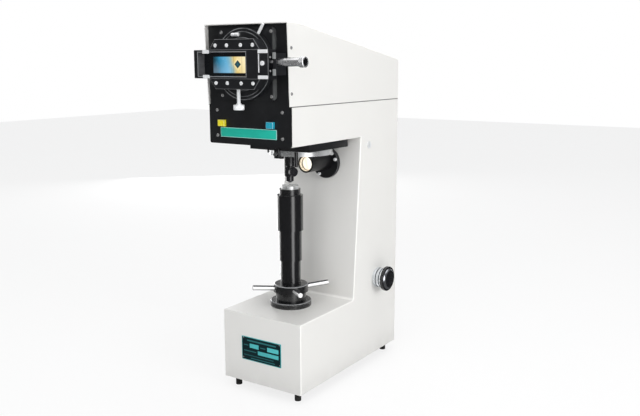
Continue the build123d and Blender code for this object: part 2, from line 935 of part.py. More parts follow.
with BuildPart() as turret_handle:
    post_reach = turret_disc_radius + handle_post_gap + handle_post_radius
    round_bar(
        handle_plane.offset(turret_disc_radius - handle_peg_seat),
        handle_peg_radius,
        handle_peg_seat + handle_post_gap + handle_post_radius,
    )
    post_x = post_reach * handle_direction[0]
    post_y = turret_y + post_reach * handle_direction[1]
    round_bar(
        level(plunger_z + handle_post_rise, post_x, post_y),
        handle_post_radius,
        -(handle_post_rise + handle_post_drop),
    )
    fillet(turret_handle.faces().sort_by(Axis.Z)[0].edges(), radius=handle_edge)
turret_handle.part.label = "turret_handle"
export_step(turret_handle.part, "parts/turret_handle.step")

# ---- indenter at the test station ----
test_axis = around(0, spindle_y)
holder_bottom = disc_bottom - holder_drop
with BuildPart() as indenter_holder:
    ring_bar(
        level(holder_bottom, 0, spindle_y),
        holder_radius,
        spindle_radius + shaft_clearance,
        holder_drop + turret_disc_thickness,
    )
indenter_holder.part.label = "indenter_holder"
export_step(indenter_holder.part, "parts/indenter_holder.step")

chuck_top = holder_bottom - stroke_gap
chuck_bottom = chuck_top - chuck_length
thumb_bearing = math.radians(thumb_direction)
thumb_axis = (math.sin(thumb_bearing), -math.cos(thumb_bearing), 0)
thumb_z = chuck_bottom + thumb_height_on_chuck
thumb_plane = Plane(origin=(0, spindle_y, thumb_z), x_dir=(0, 0, 1), z_dir=thumb_axis)
with BuildPart() as indenter_spindle:
    spindle_top = disc_top - spindle_top_recess
    round_bar(level(spindle_top, 0, spindle_y), spindle_radius, chuck_top - spindle_top)
    round_bar(level(chuck_top, 0, spindle_y), holder_radius, -chuck_length)
    chamfer(indenter_spindle.faces().sort_by(Axis.Z)[0].edges(), length=anvil_edge)
    round_bar(level(chuck_bottom, 0, spindle_y), indenter_shank_radius, indenter_shank_length, Mode.SUBTRACT)
    round_bar(
        thumb_plane.offset(indenter_shank_radius),
        thumb_shank_radius + shaft_clearance,
        holder_radius,
        Mode.SUBTRACT,
    )
indenter_spindle.part.label = "indenter_spindle"
export_step(indenter_spindle.part, "parts/indenter_spindle.step")

with BuildPart() as indenter_clamp_screw:
    round_bar(
        thumb_plane.offset(indenter_shank_radius + running_gap),
        thumb_shank_radius,
        holder_radius - indenter_shank_radius + thumb_head_gap,
    )
    round_bar(thumb_plane.offset(holder_radius + thumb_head_gap), thumb_head_radius, thumb_head_length)
    thumb_face = indenter_clamp_screw.faces().sort_by_distance(
        (thumb_plane.offset(holder_radius + thumb_head_gap + thumb_head_length)).origin
    )[0]
    fillet(thumb_face.edges(), radius=anvil_edge)
indenter_clamp_screw.part.label = "indenter_clamp_screw"
export_step(indenter_clamp_screw.part, "parts/indenter_clamp_screw.step")

indenter_tip = chuck_bottom - indenter_body_length - indenter_taper_length - diamond_height
with BuildPart() as diamond_indenter:
    turn(
        (
            (0, chuck_bottom + indenter_shank_length),
            (indenter_shank_radius, chuck_bottom + indenter_shank_length),
            (indenter_shank_radius, chuck_bottom),
            (indenter_radius, chuck_bottom),
            (indenter_radius, chuck_bottom - indenter_body_length),
            (indenter_nose_radius, indenter_tip + diamond_height),
            (diamond_radius, indenter_tip + diamond_height),
            (0, indenter_tip),
        ),
        test_axis,
    )
diamond_indenter.part.label = "diamond_indenter"
export_step(diamond_indenter.part, "parts/diamond_indenter.step")

with BuildPart() as objective:
    nose_top = disc_bottom - objective_drop
    turn(
        (
            (objective_bore_radius, disc_top),
            (objective_radius, disc_top),
            (objective_radius, nose_top),
            (objective_nose_radius, nose_top),
            (objective_nose_radius, nose_top - objective_nose_length),
            (objective_bore_radius, nose_top - objective_nose_length),
        ),
        around(second_x, second_y),
    )
objective.part.label = "objective"
export_step(objective.part, "parts/objective.step")

# ---- lamp house on the column's front face ----
drum_z = head_underside - lamp_height_below_head
drum_front = turret_y + turret_disc_radius + lamp_drum_gap
tube_z = drum_z + lamp_tube_rise
mouth_y = front_y + lamp_mouth_setback
column_face = Plane(
    origin=(0, column_low, base_top), x_dir=(1, 0, 0), z_dir=(0, -throat_height, column_high - column_low)
)
with BuildPart() as lamp_drum:
    round_bar(looking_rear(drum_front, lamp_offset, drum_z), lamp_drum_radius, 2 * lamp_drum_radius)
    split(bisect_by=column_face, keep=Keep.TOP)
    fillet(lamp_drum.faces().sort_by(Axis.Y)[0].edges(), radius=anvil_edge)
lamp_drum.part.label = "lamp_drum"
export_step(lamp_drum.part, "parts/lamp_drum.step")

with BuildPart() as lamp_tube:
    tube_plane = looking_front(drum_front, lamp_offset, tube_z)
    ring_bar(tube_plane, lamp_tube_radius, lamp_tube_bore, drum_front - mouth_y)
lamp_tube.part.label = "lamp_tube"
export_step(lamp_tube.part, "parts/lamp_tube.step")

lens_back_y = mouth_y + lens_inset + lens_thickness
with BuildPart() as lamp_lens:
    round_bar(looking_front(lens_back_y, lamp_offset, tube_z), lamp_tube_bore, lens_thickness)
    fillet(lamp_lens.faces().sort_by(Axis.Y)[0].edges(), radius=lens_crown)
lamp_lens.part.label = "lamp_lens"
export_step(lamp_lens.part, "parts/lamp_lens.step")

with BuildPart() as lamp_bulb:
    round_bar(looking_front(drum_front, lamp_offset, tube_z), bulb_base_radius, bulb_base_length)
    with Locations((lamp_offset, drum_front - bulb_base_length - bulb_radius / 2, tube_z)):
        Sphere(radius=bulb_radius)
lamp_bulb.part.label = "lamp_bulb"
export_step(lamp_bulb.part, "parts/lamp_bulb.step")

# ---- screws of the panel, bezel, covers and lamp house ----
with BuildPart() as fixing_screws:
    panel_screw_places = [
        (side * (half_width - panel_screw_inset), head_underside + height)
        for side in (1, -1)
        for height in (panel_screw_low, panel_screw_high)
    ]
    with BuildSketch(looking_front(panel_front)) as panel_heads:
        with Locations(*panel_screw_places):
            Circle(screw_head_radius)
    extrude(panel_heads.sketch, amount=screw_head_height)
    bezel_screw_pitch = bezel_side - 2 * bezel_screw_inset
    with BuildSketch(looking_front(bezel_front + running_gap, 0, screen_z)) as bezel_heads:
        with GridLocations(bezel_screw_pitch, bezel_screw_pitch, 2, 2):
            Circle(screw_head_radius)
    extrude(bezel_heads.sketch, amount=screw_head_height)
    rear_screw_x = opening_width + rear_cover_lap
    rear_screw_z = opening_height + rear_cover_lap
    with BuildSketch(looking_rear(rear_y + rear_cover_sheet, 0, opening_z)) as rear_heads:
        with GridLocations(rear_screw_x, rear_screw_z / 2, 2, 3):
            Circle(screw_head_radius)
    extrude(rear_heads.sketch, amount=screw_head_height)
    cover_screw_places = [(head_front, seam + height) for height in cover_screw_heights]
    for side in (1, -1):
        with BuildSketch(looking_right(side * half_width)) as side_heads:
            with Locations(*cover_screw_places):
                Circle(screw_head_radius)
        extrude(side_heads.sketch, amount=side * screw_head_height)
    for angle in centring_angles:
        centring_x = lamp_offset + centring_pitch_radius * math.cos(math.radians(angle))
        centring_z = drum_z + centring_pitch_radius * math.sin(math.radians(angle))
        round_bar(looking_front(drum_front, centring_x, centring_z), centring_radius, centring_length)
fixing_screws.part.label = "fixing_screws"
export_step(fixing_screws.part, "parts/fixing_screws.step")

# ================= elevating screw =================
flange_top = base_top + flange_height
neck_bottom = flange_top + running_gap
neck_top = neck_bottom + hub_neck_height
hub_top = neck_top + hub_height
anvil_top = indenter_tip - test_gap
seat_top = anvil_top - anvil_height
seat_bottom = seat_top - anvil_seat_height
outer_sleeve_bottom = seat_bottom - outer_sleeve_length
middle_sleeve_bottom = outer_sleeve_bottom - middle_sleeve_showing
sleeve_foot = hub_top - sleeve_recess
with BuildPart() as base_flange:
    turn(
        (
            (hub_spigot_radius + shaft_clearance, base_top),
            (flange_radius, base_top),
            (flange_radius, base_top + flange_height / 2 - flange_groove),
            (flange_radius - flange_groove, base_top + flange_height / 2 - flange_groove),
            (flange_radius - flange_groove, base_top + flange_height / 2),
            (flange_radius, base_top + flange_height / 2),
            (flange_radius, flange_top - flange_groove),
            (flange_radius - flange_groove, flange_top),
            (hub_spigot_radius + shaft_clearance, flange_top),
        ),
        test_axis,
    )
base_flange.part.label = "base_flange"
export_step(base_flange.part, "parts/base_flange.step")

spoke_z = neck_top + spoke_height_on_hub
spoke_planes = []
for spoke in range(spoke_count):
    bearing = math.radians(spoke_angle + spoke * 360 / spoke_count)
    across = (-math.sin(bearing), math.cos(bearing), 0)
    spoke_direction = (math.cos(bearing), math.sin(bearing), math.tan(math.radians(spoke_tilt)))
    spoke_planes.append(Plane(origin=(0, spindle_y, spoke_z), x_dir=across, z_dir=spoke_direction))
nut_bore = screw_radius + shaft_clearance
with BuildPart() as capstan_hub:
    turn(
        (
            (nut_bore, flange_top - hub_spigot_length),
            (hub_spigot_radius, flange_top - hub_spigot_length),
            (hub_spigot_radius, neck_bottom),
            (hub_neck_radius, neck_bottom),
            (hub_neck_radius, neck_top),
            (hub_radius, neck_top),
            (hub_radius, hub_top),
            (inner_sleeve_radius, hub_top),
            (inner_sleeve_radius, sleeve_foot),
            (nut_bore, sleeve_foot),
        ),
        test_axis,
    )
    hub_top_edges = capstan_hub.edges().filter_by(GeomType.CIRCLE).group_by(Axis.Z)[-1]
    fillet(hub_top_edges.sort_by(SortBy.RADIUS)[-1], radius=hub_edge)
    for spoke_plane in spoke_planes:
        spoke_root = spoke_plane.offset(hub_radius - spoke_seat)
        round_bar(spoke_root, spoke_radius, spoke_seat + spoke_edge, Mode.SUBTRACT)
capstan_hub.part.label = "capstan_hub"
export_step(capstan_hub.part, "parts/capstan_hub.step")

with BuildPart() as capstan_spokes:
    for spoke_plane in spoke_planes:
        spoke_root = spoke_plane.offset(hub_radius - spoke_seat)
        round_bar(spoke_root, spoke_radius, spoke_reach - hub_radius + spoke_seat)
    for spoke_plane in spoke_planes:
        spoke_end = capstan_spokes.faces().sort_by_distance(spoke_plane.offset(spoke_reach).origin)[0]
        fillet(spoke_end.edges(), radius=spoke_edge)
capstan_spokes.part.label = "capstan_spokes"
export_step(capstan_spokes.part, "parts/capstan_spokes.step")

with BuildPart() as dust_sleeve_inner:
    ring_bar(
        level(sleeve_foot, 0, spindle_y),
        inner_sleeve_radius,
        inner_sleeve_radius - sleeve_wall,
        middle_sleeve_bottom + sleeve_lap - sleeve_foot,
    )
dust_sleeve_inner.part.label = "dust_sleeve_inner"
export_step(dust_sleeve_inner.part, "parts/dust_sleeve_inner.step")

with BuildPart() as dust_sleeve_middle:
    ring_bar(
        level(middle_sleeve_bottom, 0, spindle_y),
        middle_sleeve_radius,
        middle_sleeve_radius - sleeve_wall,
        middle_sleeve_showing + sleeve_lap,
    )
dust_sleeve_middle.part.label = "dust_sleeve_middle"
export_step(dust_sleeve_middle.part, "parts/dust_sleeve_middle.step")

with BuildPart() as dust_sleeve_outer:
    turn(
        (
            (outer_sleeve_radius - sleeve_wall, outer_sleeve_bottom),
            (outer_sleeve_radius, outer_sleeve_bottom),
            (outer_sleeve_radius, seat_bottom),
            (screw_radius, seat_bottom),
            (screw_radius, seat_bottom - sleeve_cap),
            (outer_sleeve_radius - sleeve_wall, seat_bottom - sleeve_cap),
        ),
        test_axis,
    )
dust_sleeve_outer.part.label = "dust_sleeve_outer"
export_step(dust_sleeve_outer.part, "parts/dust_sleeve_outer.step")

with BuildPart() as elevating_screw:
    round_bar(level(base_top - screw_tail, 0, spindle_y), screw_radius, seat_bottom - base_top + screw_tail)
    chamfer(elevating_screw.faces().sort_by(Axis.Z)[0].edges(), length=anvil_edge)
    stem_hole = anvil_stem_length - anvil_seat_height
    round_bar(level(seat_bottom, 0, spindle_y), anvil_stem_radius, -stem_hole, Mode.SUBTRACT)
elevating_screw.part.label = "elevating_screw"
export_step(elevating_screw.part, "parts/elevating_screw.step")

with BuildPart() as anvil_seat:
    ring_bar(level(seat_bottom, 0, spindle_y), anvil_seat_radius, anvil_stem_radius, anvil_seat_height)
    fillet(anvil_seat.faces().sort_by(Axis.Z)[0].outer_wire().edges(), radius=anvil_edge)
anvil_seat.part.label = "anvil_seat"
export_step(anvil_seat.part, "parts/anvil_seat.step")

with BuildPart() as anvil:
    round_bar(level(seat_top, 0, spindle_y), anvil_radius, anvil_height)
    chamfer(anvil.faces().sort_by(Axis.Z)[-1].edges(), length=anvil_edge)
    round_bar(level(seat_top, 0, spindle_y), anvil_stem_radius, -anvil_stem_length)
anvil.part.label = "anvil"
export_step(anvil.part, "parts/anvil.step")

# ================= load selector and side lock =================
dial_end = half_width + selector_dial_length
knob_start = dial_end + running_gap
with BuildPart() as selector_dial:
    ring_bar(
        looking_right(half_width, selector_y, selector_z),
        selector_dial_radius,
        selector_shaft_radius + shaft_clearance,
        selector_dial_length,
    )
selector_dial.part.label = "selector_dial"
export_step(selector_dial.part, "parts/selector_dial.step")

with BuildPart() as selector_knob:
    with BuildSketch(looking_right(knob_start, selector_y, selector_z)) as grip_outline:
        Circle(selector_knob_radius)
        with PolarLocations(selector_knob_radius + selector_grip_radius / 2, selector_grip_count):
            Circle(selector_grip_radius, mode=Mode.SUBTRACT)
    extrude(grip_outline.sketch, amount=selector_knob_length)
    knob_plane = looking_right(knob_start, selector_y, selector_z)
    round_bar(knob_plane, selector_shaft_radius, selector_knob_seat, Mode.SUBTRACT)
selector_knob.part.label = "selector_knob"
export_step(selector_knob.part, "parts/selector_knob.step")

with BuildPart() as selector_shaft:
    round_bar(
        looking_right(half_width - selector_shaft_inward, selector_y, selector_z),
        selector_shaft_radius,
        selector_shaft_inward + selector_dial_length + running_gap + selector_knob_seat,
    )
selector_shaft.part.label = "selector_shaft"
export_step(selector_shaft.part, "parts/selector_shaft.step")

with BuildPart() as side_lock:
    round_bar(looking_right(half_width - housing_wall, lock_y, lock_z), lock_radius, housing_wall)
    round_bar(looking_right(half_width, lock_y, lock_z), lock_flange_radius, lock_flange_height)
    flat_bar(
        looking_right(half_width + lock_flange_height, lock_y, lock_z),
        lock_slot_width,
        lock_slot_length,
        -lock_slot_depth,
        Mode.SUBTRACT,
    )
side_lock.part.label = "side_lock"
export_step(side_lock.part, "parts/side_lock.step")

# ================= loading mechanism =================
pivot_y = spindle_y - pivot_arm
pivot_z = head_floor + pivot_above_floor
beam_bottom = pivot_z - lever_height / 2
beam_front = pivot_y - lever_front_reach
beam_rear = hanger_y + lever_rear_reach
with BuildPart() as loading_lever:
    outline(
        looking_right(0),
        (
            (beam_front, beam_bottom),
            (beam_rear, beam_bottom),
            (beam_rear, beam_bottom + lever_rear_height),
            (beam_front, beam_bottom + lever_height),
        ),
        lever_width / 2,
        both=True,
    )
    eye_plane = looking_right(-lever_width / 2, pivot_y, pivot_z)
    round_bar(eye_plane, pivot_pin_radius + shaft_clearance, lever_width, Mode.SUBTRACT)
    round_bar(level(beam_bottom, 0, turret_y), lever_eye_radius, lever_height, Mode.SUBTRACT)
loading_lever.part.label = "loading_lever"
export_step(loading_lever.part, "parts/loading_lever.step")

cheek_inside = lever_width / 2 + bracket_cheek_gap
cheek_outside = cheek_inside + bracket_cheek
with BuildPart() as lever_bracket:
    outline(
        looking_front(pivot_y + bracket_length / 2),
        (
            (-cheek_outside, head_floor),
            (cheek_outside, head_floor),
            (cheek_outside, pivot_z + bracket_crown),
            (cheek_inside, pivot_z + bracket_crown),
            (cheek_inside, head_floor + bracket_cheek),
            (-cheek_inside, head_floor + bracket_cheek),
            (-cheek_inside, pivot_z + bracket_crown),
            (-cheek_outside, pivot_z + bracket_crown),
        ),
        bracket_length,
    )
    round_bar(looking_right(-cheek_outside, pivot_y, pivot_z), pivot_pin_radius, 2 * cheek_outside)
lever_bracket.part.label = "lever_bracket"
export_step(lever_bracket.part, "parts/lever_bracket.step")

with BuildPart() as load_pin:
    pin_bottom = disc_top + pin_plate_clear
    round_bar(level(pin_bottom, 0, spindle_y), pin_radius, beam_bottom - running_gap - pin_bottom)
load_pin.part.label = "load_pin"
export_step(load_pin.part, "parts/load_pin.step")

beam_fall = (lever_height - lever_rear_height) / (beam_rear - beam_front)
beam_top_at_hanger = beam_bottom + lever_height - beam_fall * (hanger_y - hanger_bar / 2 - beam_front)
yoke_inside = lever_width / 2 + bracket_cheek_gap
yoke_outside = yoke_inside + hanger_bar
yoke_bottom = beam_bottom - hanger_yoke_drop
yoke_top = beam_top_at_hanger + hanger_play
hanger_plate_top = yoke_bottom - hanger_bar - hanger_rod_length
hanger_plate_bottom = hanger_plate_top - hanger_plate_thickness
hanger_tip = hanger_plate_bottom - hanger_tail
with BuildPart() as weight_hanger:
    # a yoke round the lever, hanging on its top edge
    flat_bar(
        looking_front(hanger_y + hanger_bar / 2, 0, (yoke_top + yoke_bottom) / 2),
        2 * yoke_outside,
        yoke_top - yoke_bottom + 2 * hanger_bar,
        hanger_bar,
    )
    flat_bar(
        looking_front(hanger_y + hanger_bar / 2, 0, (yoke_top + yoke_bottom) / 2),
        2 * yoke_inside,
        yoke_top - yoke_bottom,
        hanger_bar,
        Mode.SUBTRACT,
    )
    round_bar(level(hanger_tip, 0, hanger_y), hanger_rod_radius, yoke_bottom - hanger_bar / 2 - hanger_tip)
    round_bar(level(hanger_plate_bottom, 0, hanger_y), hanger_plate_radius, hanger_plate_thickness)
    # the rod is wider than the yoke's bar, so its upper end is cut flush with the bar
    flat_bar(level(yoke_bottom, 0, hanger_y), 2 * yoke_inside, 2 * hanger_bar, hanger_bar / 2, Mode.SUBTRACT)
weight_hanger.part.label = "weight_hanger"
export_step(weight_hanger.part, "parts/weight_hanger.step")

with BuildPart() as load_weights:
    for number in range(weight_count):
        weight_bottom = hanger_plate_top + number * (weight_thickness + weight_gap)
        with BuildSketch(level(weight_bottom, 0, hanger_y)) as weight_outline:
            Circle(weight_radius)
            with Locations((weight_radius / 2, 0)):
                Rectangle(weight_radius + weight_slot, weight_slot, mode=Mode.SUBTRACT)
        extrude(weight_outline.sketch, amount=weight_thickness)
load_weights.part.label = "load_weights"
export_step(load_weights.part, "parts/load_weights.step")

# a heart-shaped cam lifts and lowers the hanger evenly
cam_z = hanger_tip - cam_play - cam_high_radius
cam_outline = []
for number in range(cam_profile_points):
    share = number / cam_profile_points
    turned = 2 * math.pi * share
    cam_radius = cam_high_radius - load_drop * (1 - abs(1 - 2 * share))
    cam_outline.append((cam_radius * math.sin(turned), cam_radius * math.cos(turned)))
motor_wall = -half_width + housing_wall
motor_end = motor_wall + motor_length
with BuildPart() as lifting_cam:
    outline(looking_right(-cam_thickness / 2, hanger_y, cam_z), cam_outline, cam_thickness)
    round_bar(
        looking_right(motor_end - motor_shaft_seat, hanger_y, cam_z),
        cam_shaft_radius,
        cam_thickness / 2 + cam_shaft_beyond - motor_end + motor_shaft_seat,
    )
lifting_cam.part.label = "lifting_cam"
export_step(lifting_cam.part, "parts/lifting_cam.step")

with BuildPart() as drive_motor:
    round_bar(looking_right(motor_wall, hanger_y, cam_z), motor_radius, motor_length)
    round_bar(looking_right(motor_wall, hanger_y, cam_z), motor_flange_radius, motor_flange)
    round_bar(
        looking_right(motor_end, hanger_y, cam_z),
        cam_shaft_radius + shaft_clearance,
        -motor_shaft_seat - running_gap,
        Mode.SUBTRACT,
    )
drive_motor.part.label = "drive_motor"
export_step(drive_motor.part, "parts/drive_motor.step")

dashpot_axis = around(0, dashpot_y)
with BuildPart() as dashpot_cylinder:
    turn(
        (
            (0, dashpot_floor),
            (dashpot_radius, dashpot_floor),
            (dashpot_radius, dashpot_floor + dashpot_length),
            (dashpot_radius - dashpot_wall, dashpot_floor + dashpot_length),
            (dashpot_radius - dashpot_wall, dashpot_floor + dashpot_wall),
            (0, dashpot_floor + dashpot_wall),
        ),
        dashpot_axis,
    )
dashpot_cylinder.part.label = "dashpot_cylinder"
export_step(dashpot_cylinder.part, "parts/dashpot_cylinder.step")

piston_bottom = dashpot_floor + dashpot_wall + dashpot_piston_lift
with BuildPart() as dashpot_rod:
    round_bar(level(piston_bottom, 0, dashpot_y), dashpot_piston_radius, dashpot_piston_height)
    rod_length = beam_bottom - running_gap - piston_bottom
    round_bar(level(piston_bottom, 0, dashpot_y), dashpot_rod_radius, rod_length)
dashpot_rod.part.label = "dashpot_rod"
export_step(dashpot_rod.part, "parts/dashpot_rod.step")

transformer_floor = foot_height + base_plate_thickness
with BuildPart() as transformer:
    transformer_plane = level(transformer_floor, transformer_x, front_y + transformer_setback)
    flat_bar(transformer_plane, transformer_width, transformer_core_depth, transformer_height)
    flat_bar(
        transformer_plane.offset(winding_inset),
        transformer_width - 2 * transformer_core_depth / 3,
        transformer_depth,
        transformer_height - 2 * winding_inset,
    )
transformer.part.label = "transformer"
export_step(transformer.part, "parts/transformer.step")

# the mirror turns the light from the turret forward to the screen
mirror_plane = Plane(origin=(0, turret_y, screen_z), x_dir=(1, 0, 0), z_dir=(0, -1, -1))
with BuildPart() as projection_mirror:
    flat_bar(mirror_plane, mirror_width, mirror_length, -mirror_thickness)
projection_mirror.part.label = "projection_mirror"
export_step(projection_mirror.part, "parts/projection_mirror.step")

with BuildPart() as mirror_post:
    post_height = screen_z + mirror_post_rise - head_floor
    flat_bar(
        looking_right(mirror_width / 2, turret_y, head_floor + post_height / 2),
        mirror_post_depth,
        post_height,
        mirror_post_thickness,
    )
mirror_post.part.label = "mirror_post"
export_step(mirror_post.part, "parts/mirror_post.step")
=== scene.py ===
"""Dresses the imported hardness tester: finishes on every piece, the small fittings that are too fine for the
solids, and a plain studio. All lengths are in metres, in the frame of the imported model."""

import math
from functools import partialmethod

import bmesh
import bpy
import numpy as np
from bpy.props import FloatProperty, FloatVectorProperty, IntProperty, PointerProperty
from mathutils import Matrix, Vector


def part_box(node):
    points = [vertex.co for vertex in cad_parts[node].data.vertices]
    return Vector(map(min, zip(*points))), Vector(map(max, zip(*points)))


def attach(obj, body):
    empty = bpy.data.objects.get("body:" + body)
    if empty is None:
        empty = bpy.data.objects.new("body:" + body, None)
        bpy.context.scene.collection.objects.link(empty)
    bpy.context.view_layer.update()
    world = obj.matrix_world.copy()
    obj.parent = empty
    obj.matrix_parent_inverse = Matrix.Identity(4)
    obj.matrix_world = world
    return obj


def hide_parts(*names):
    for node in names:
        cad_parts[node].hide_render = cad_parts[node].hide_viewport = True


bl_info = {
    "name": "Hardness tester dressing",
    "version": (1, 0, 0),
    "blender": (4, 5, 0),
    "location": "View3D > Sidebar > Tester",
    "description": "Finishes, plates, screws and studio for a bench hardness tester",
    "category": "Object",
}

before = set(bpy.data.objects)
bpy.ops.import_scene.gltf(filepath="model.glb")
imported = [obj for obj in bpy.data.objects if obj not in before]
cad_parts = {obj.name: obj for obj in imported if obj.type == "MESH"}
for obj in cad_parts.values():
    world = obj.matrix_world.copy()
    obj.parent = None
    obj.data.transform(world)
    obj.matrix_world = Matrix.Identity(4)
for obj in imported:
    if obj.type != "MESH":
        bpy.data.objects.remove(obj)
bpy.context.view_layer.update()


def node_box(name):
    """The lowest and highest corner of a solid at rest, as two arrays."""
    low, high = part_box(name)
    return np.array(low), np.array(high)


def node_centre(name):
    """The middle of a solid's box at rest."""
    return sum(node_box(name)) / 2.0


def upright_axis(name):
    """The point on the bench below a solid's middle."""
    return node_centre(name) * np.array((1.0, 1.0, 0.0))


MM = 0.001
TURN = 2.0 * math.pi
X_AXIS = np.array((1.0, 0.0, 0.0))
Y_AXIS = np.array((0.0, 1.0, 0.0))
Z_AXIS = np.array((0.0, 0.0, 1.0))
TEST_AXIS = upright_axis("anvil")
TURRET_AXIS = upright_axis("turret_disc")
SCREEN_AXIS = (0.0, 0.0, 852.0 * MM)
SEAM_HEIGHT = 753.0 * MM
PANEL_FACE = node_box("front_panel")[0][1]
BASE_FACE = -247.0 * MM
LAMP_BOX = node_box("lamp_drum")
REAR_SIDE = 200.0 * MM  # a screw head behind this plane faces the rear
MERGE_DISTANCE = 0.001 * MM
SHARP_ANGLE = math.radians(32.0)
SLOT_DEPTH, DOME_DROP = 0.45, 0.22  # shares of a screw head's height
RIM_START, RIM_DROP = 0.86, 0.18  # where its bevel starts, as a share of its radius, and how far it drops
SLOT_TURN = 1.9  # from one screw's slot to the next one's, in radians
RIDGE_STEPS = 8  # points round the thimble for each ridge of its knurl
# grey of the painted highlights on the rims and chamfers of black parts
PAINTED_EDGE_HIGHLIGHT_GREY = (0.42, 0.43, 0.44)
TOOL_RING_PITCH = 0.42 * MM
STRIP_CENTRE = (-3.5 * MM, PANEL_FACE, 686.8 * MM)
PLATE_CENTRE = (0.0, BASE_FACE, 119.0 * MM)
FLOOR_HALF = 9.0
FLOOR_DROP = 0.4 * MM
CAMERA_PLACE = (1.203, -1.775, 0.859)
CAMERA_TILT, CAMERA_ROLL, CAMERA_BEARING = 79.43, 0.13, 33.68
CAMERA_LENS, CAMERA_SENSOR = 44.3, 36.0
STUDIO_DIM = 0.08
STUDIO_BOX = 3.2
STUDIO_BOXES = (  # bearing, half width of the bright core and of the faded edge in degrees, and share of the light
    (-30.0, 5.0, 19.0, 1.0),
    (-174.0, 4.0, 9.0, 0.7),
    (104.0, 5.0, 12.0, 0.6),
    (146.0, 10.0, 20.0, 1.2),
)
LAMPS = (  # name, place, height that it looks at, size and watts
    ("side_softbox", (3.3, -0.6, 1.45), 0.5, 1.8, 59.0),
    ("front_softbox", (0.8, -3.2, 2.0), 0.45, 2.2, 40.0),
    ("back_softbox", (-2.6, 2.8, 0.8), 0.5, 1.6, 36.0),
    ("top_softbox", (0.3, -0.2, 3.4), 0.5, 1.8, 34.0),
)


# ---------------------------------------------------------------- sizes and colours a user would change


def colour(label, words, value):
    """A colour property with its default."""
    return FloatVectorProperty(name=label, description=words, default=value, size=3, subtype="COLOR", min=0, max=1)


def length(label, words, value):
    """A length property in metres with its default."""
    return FloatProperty(name=label, description=words, default=value, unit="LENGTH", min=0.0)


class TesterColours(bpy.types.PropertyGroup):
    """Colours of the tester's finishes."""

    housing: colour("Housing", "Satin off-white of the housing and covers", (0.80, 0.79, 0.765))
    panel: colour("Panel", "Semi-gloss black of the front panel and screen", (0.010, 0.0105, 0.012))
    strip: colour("Strip", "Teal of the bare strip on the front panel", (0.010, 0.42, 0.32))
    plate: colour("Base plate", "Dark teal of the bare plate on the base", (0.0015, 0.018, 0.022))
    plate_line: colour("Plate line", "Pale lines and fields of the bare plate", (0.09, 0.56, 0.58))
    start: colour("Start button", "Yellow of the start button", (0.86, 0.74, 0.03))
    lamp: colour("Lamp button", "Blue of the lamp button", (0.018, 0.36, 0.50))
    glow: colour("Lamp glow", "Warm white of the lamp", (1.0, 0.88, 0.66))


class TesterSizes(bpy.types.PropertyGroup):
    """Sizes of the small fittings."""

    strip_width: length("Strip width", "Width of the bare strip on the front panel", 173 * MM)
    strip_height: length("Strip height", "Height of the bare strip on the front panel", 23.5 * MM)
    plate_width: length("Plate width", "Width of the bare plate on the base", 128 * MM)
    plate_height: length("Plate height", "Height of the bare plate on the base", 64 * MM)
    plate_thickness: length("Plate thickness", "Thickness of both bare plates", 1.0 * MM)
    rivet_radius: length("Rivet radius", "Radius of the base plate's rivets", 2.2 * MM)
    slot_width: length("Slot width", "Width of the slot in the screw heads", 1.1 * MM)
    knurl_depth: length("Knurl depth", "Depth of the thimble's diamond knurl", 0.45 * MM)
    knurl_count: IntProperty(name="Knurl count", description="Ridges round the thimble", default=40, min=8, max=90)


# ---------------------------------------------------------------- shader arithmetic


class Value:
    """A shader socket in Python arithmetic: an operator on values adds the Math node that works it out."""

    def __init__(self, graph, socket):
        self.graph = graph
        self.socket = socket

    def apply(self, operation, *others, clamp=False):
        """A Math node on this value and others."""
        values = dict(enumerate((self,) + others))
        return self.graph.node("ShaderNodeMath", {"operation": operation, "use_clamp": clamp}, values)

    def __rsub__(self, other):
        return self.graph.node("ShaderNodeMath", {"operation": "SUBTRACT"}, {0: other, 1: self})

    __add__ = __radd__ = partialmethod(apply, "ADD")
    __sub__ = partialmethod(apply, "SUBTRACT")
    __mul__ = __rmul__ = partialmethod(apply, "MULTIPLY")
    __truediv__ = partialmethod(apply, "DIVIDE")
    __pow__ = partialmethod(apply, "POWER")
    __lt__ = partialmethod(apply, "LESS_THAN")
    __gt__ = partialmethod(apply, "GREATER_THAN")
    __abs__ = partialmethod(apply, "ABSOLUTE")
    least = partialmethod(apply, "MINIMUM")
    most = partialmethod(apply, "MAXIMUM")
    sine = partialmethod(apply, "SINE")
    bearing = partialmethod(apply, "ARCTAN2")
    clamped = partialmethod(apply, "ADD", 0.0, clamp=True)

    def hypot(self, other):
        """The distance from an axis, whose two coordinates are this value and another."""
        return (self**2.0 + other**2.0) ** 0.5

    def fade(self, start, end):
        """0 before start and 1 after end, with a smooth step between them."""
        return self.graph.node(
            "ShaderNodeMapRange",
            {"interpolation_type": "SMOOTHSTEP"},
            {"Value": self, "From Min": start, "From Max": end, "To Min": 0.0, "To Max": 1.0},
        )

    def band(self, place, core, edge):
        """1 within core of a place, fading smoothly to 0 at edge from it."""
        return 1.0 - abs(self - place).fade(core, edge)


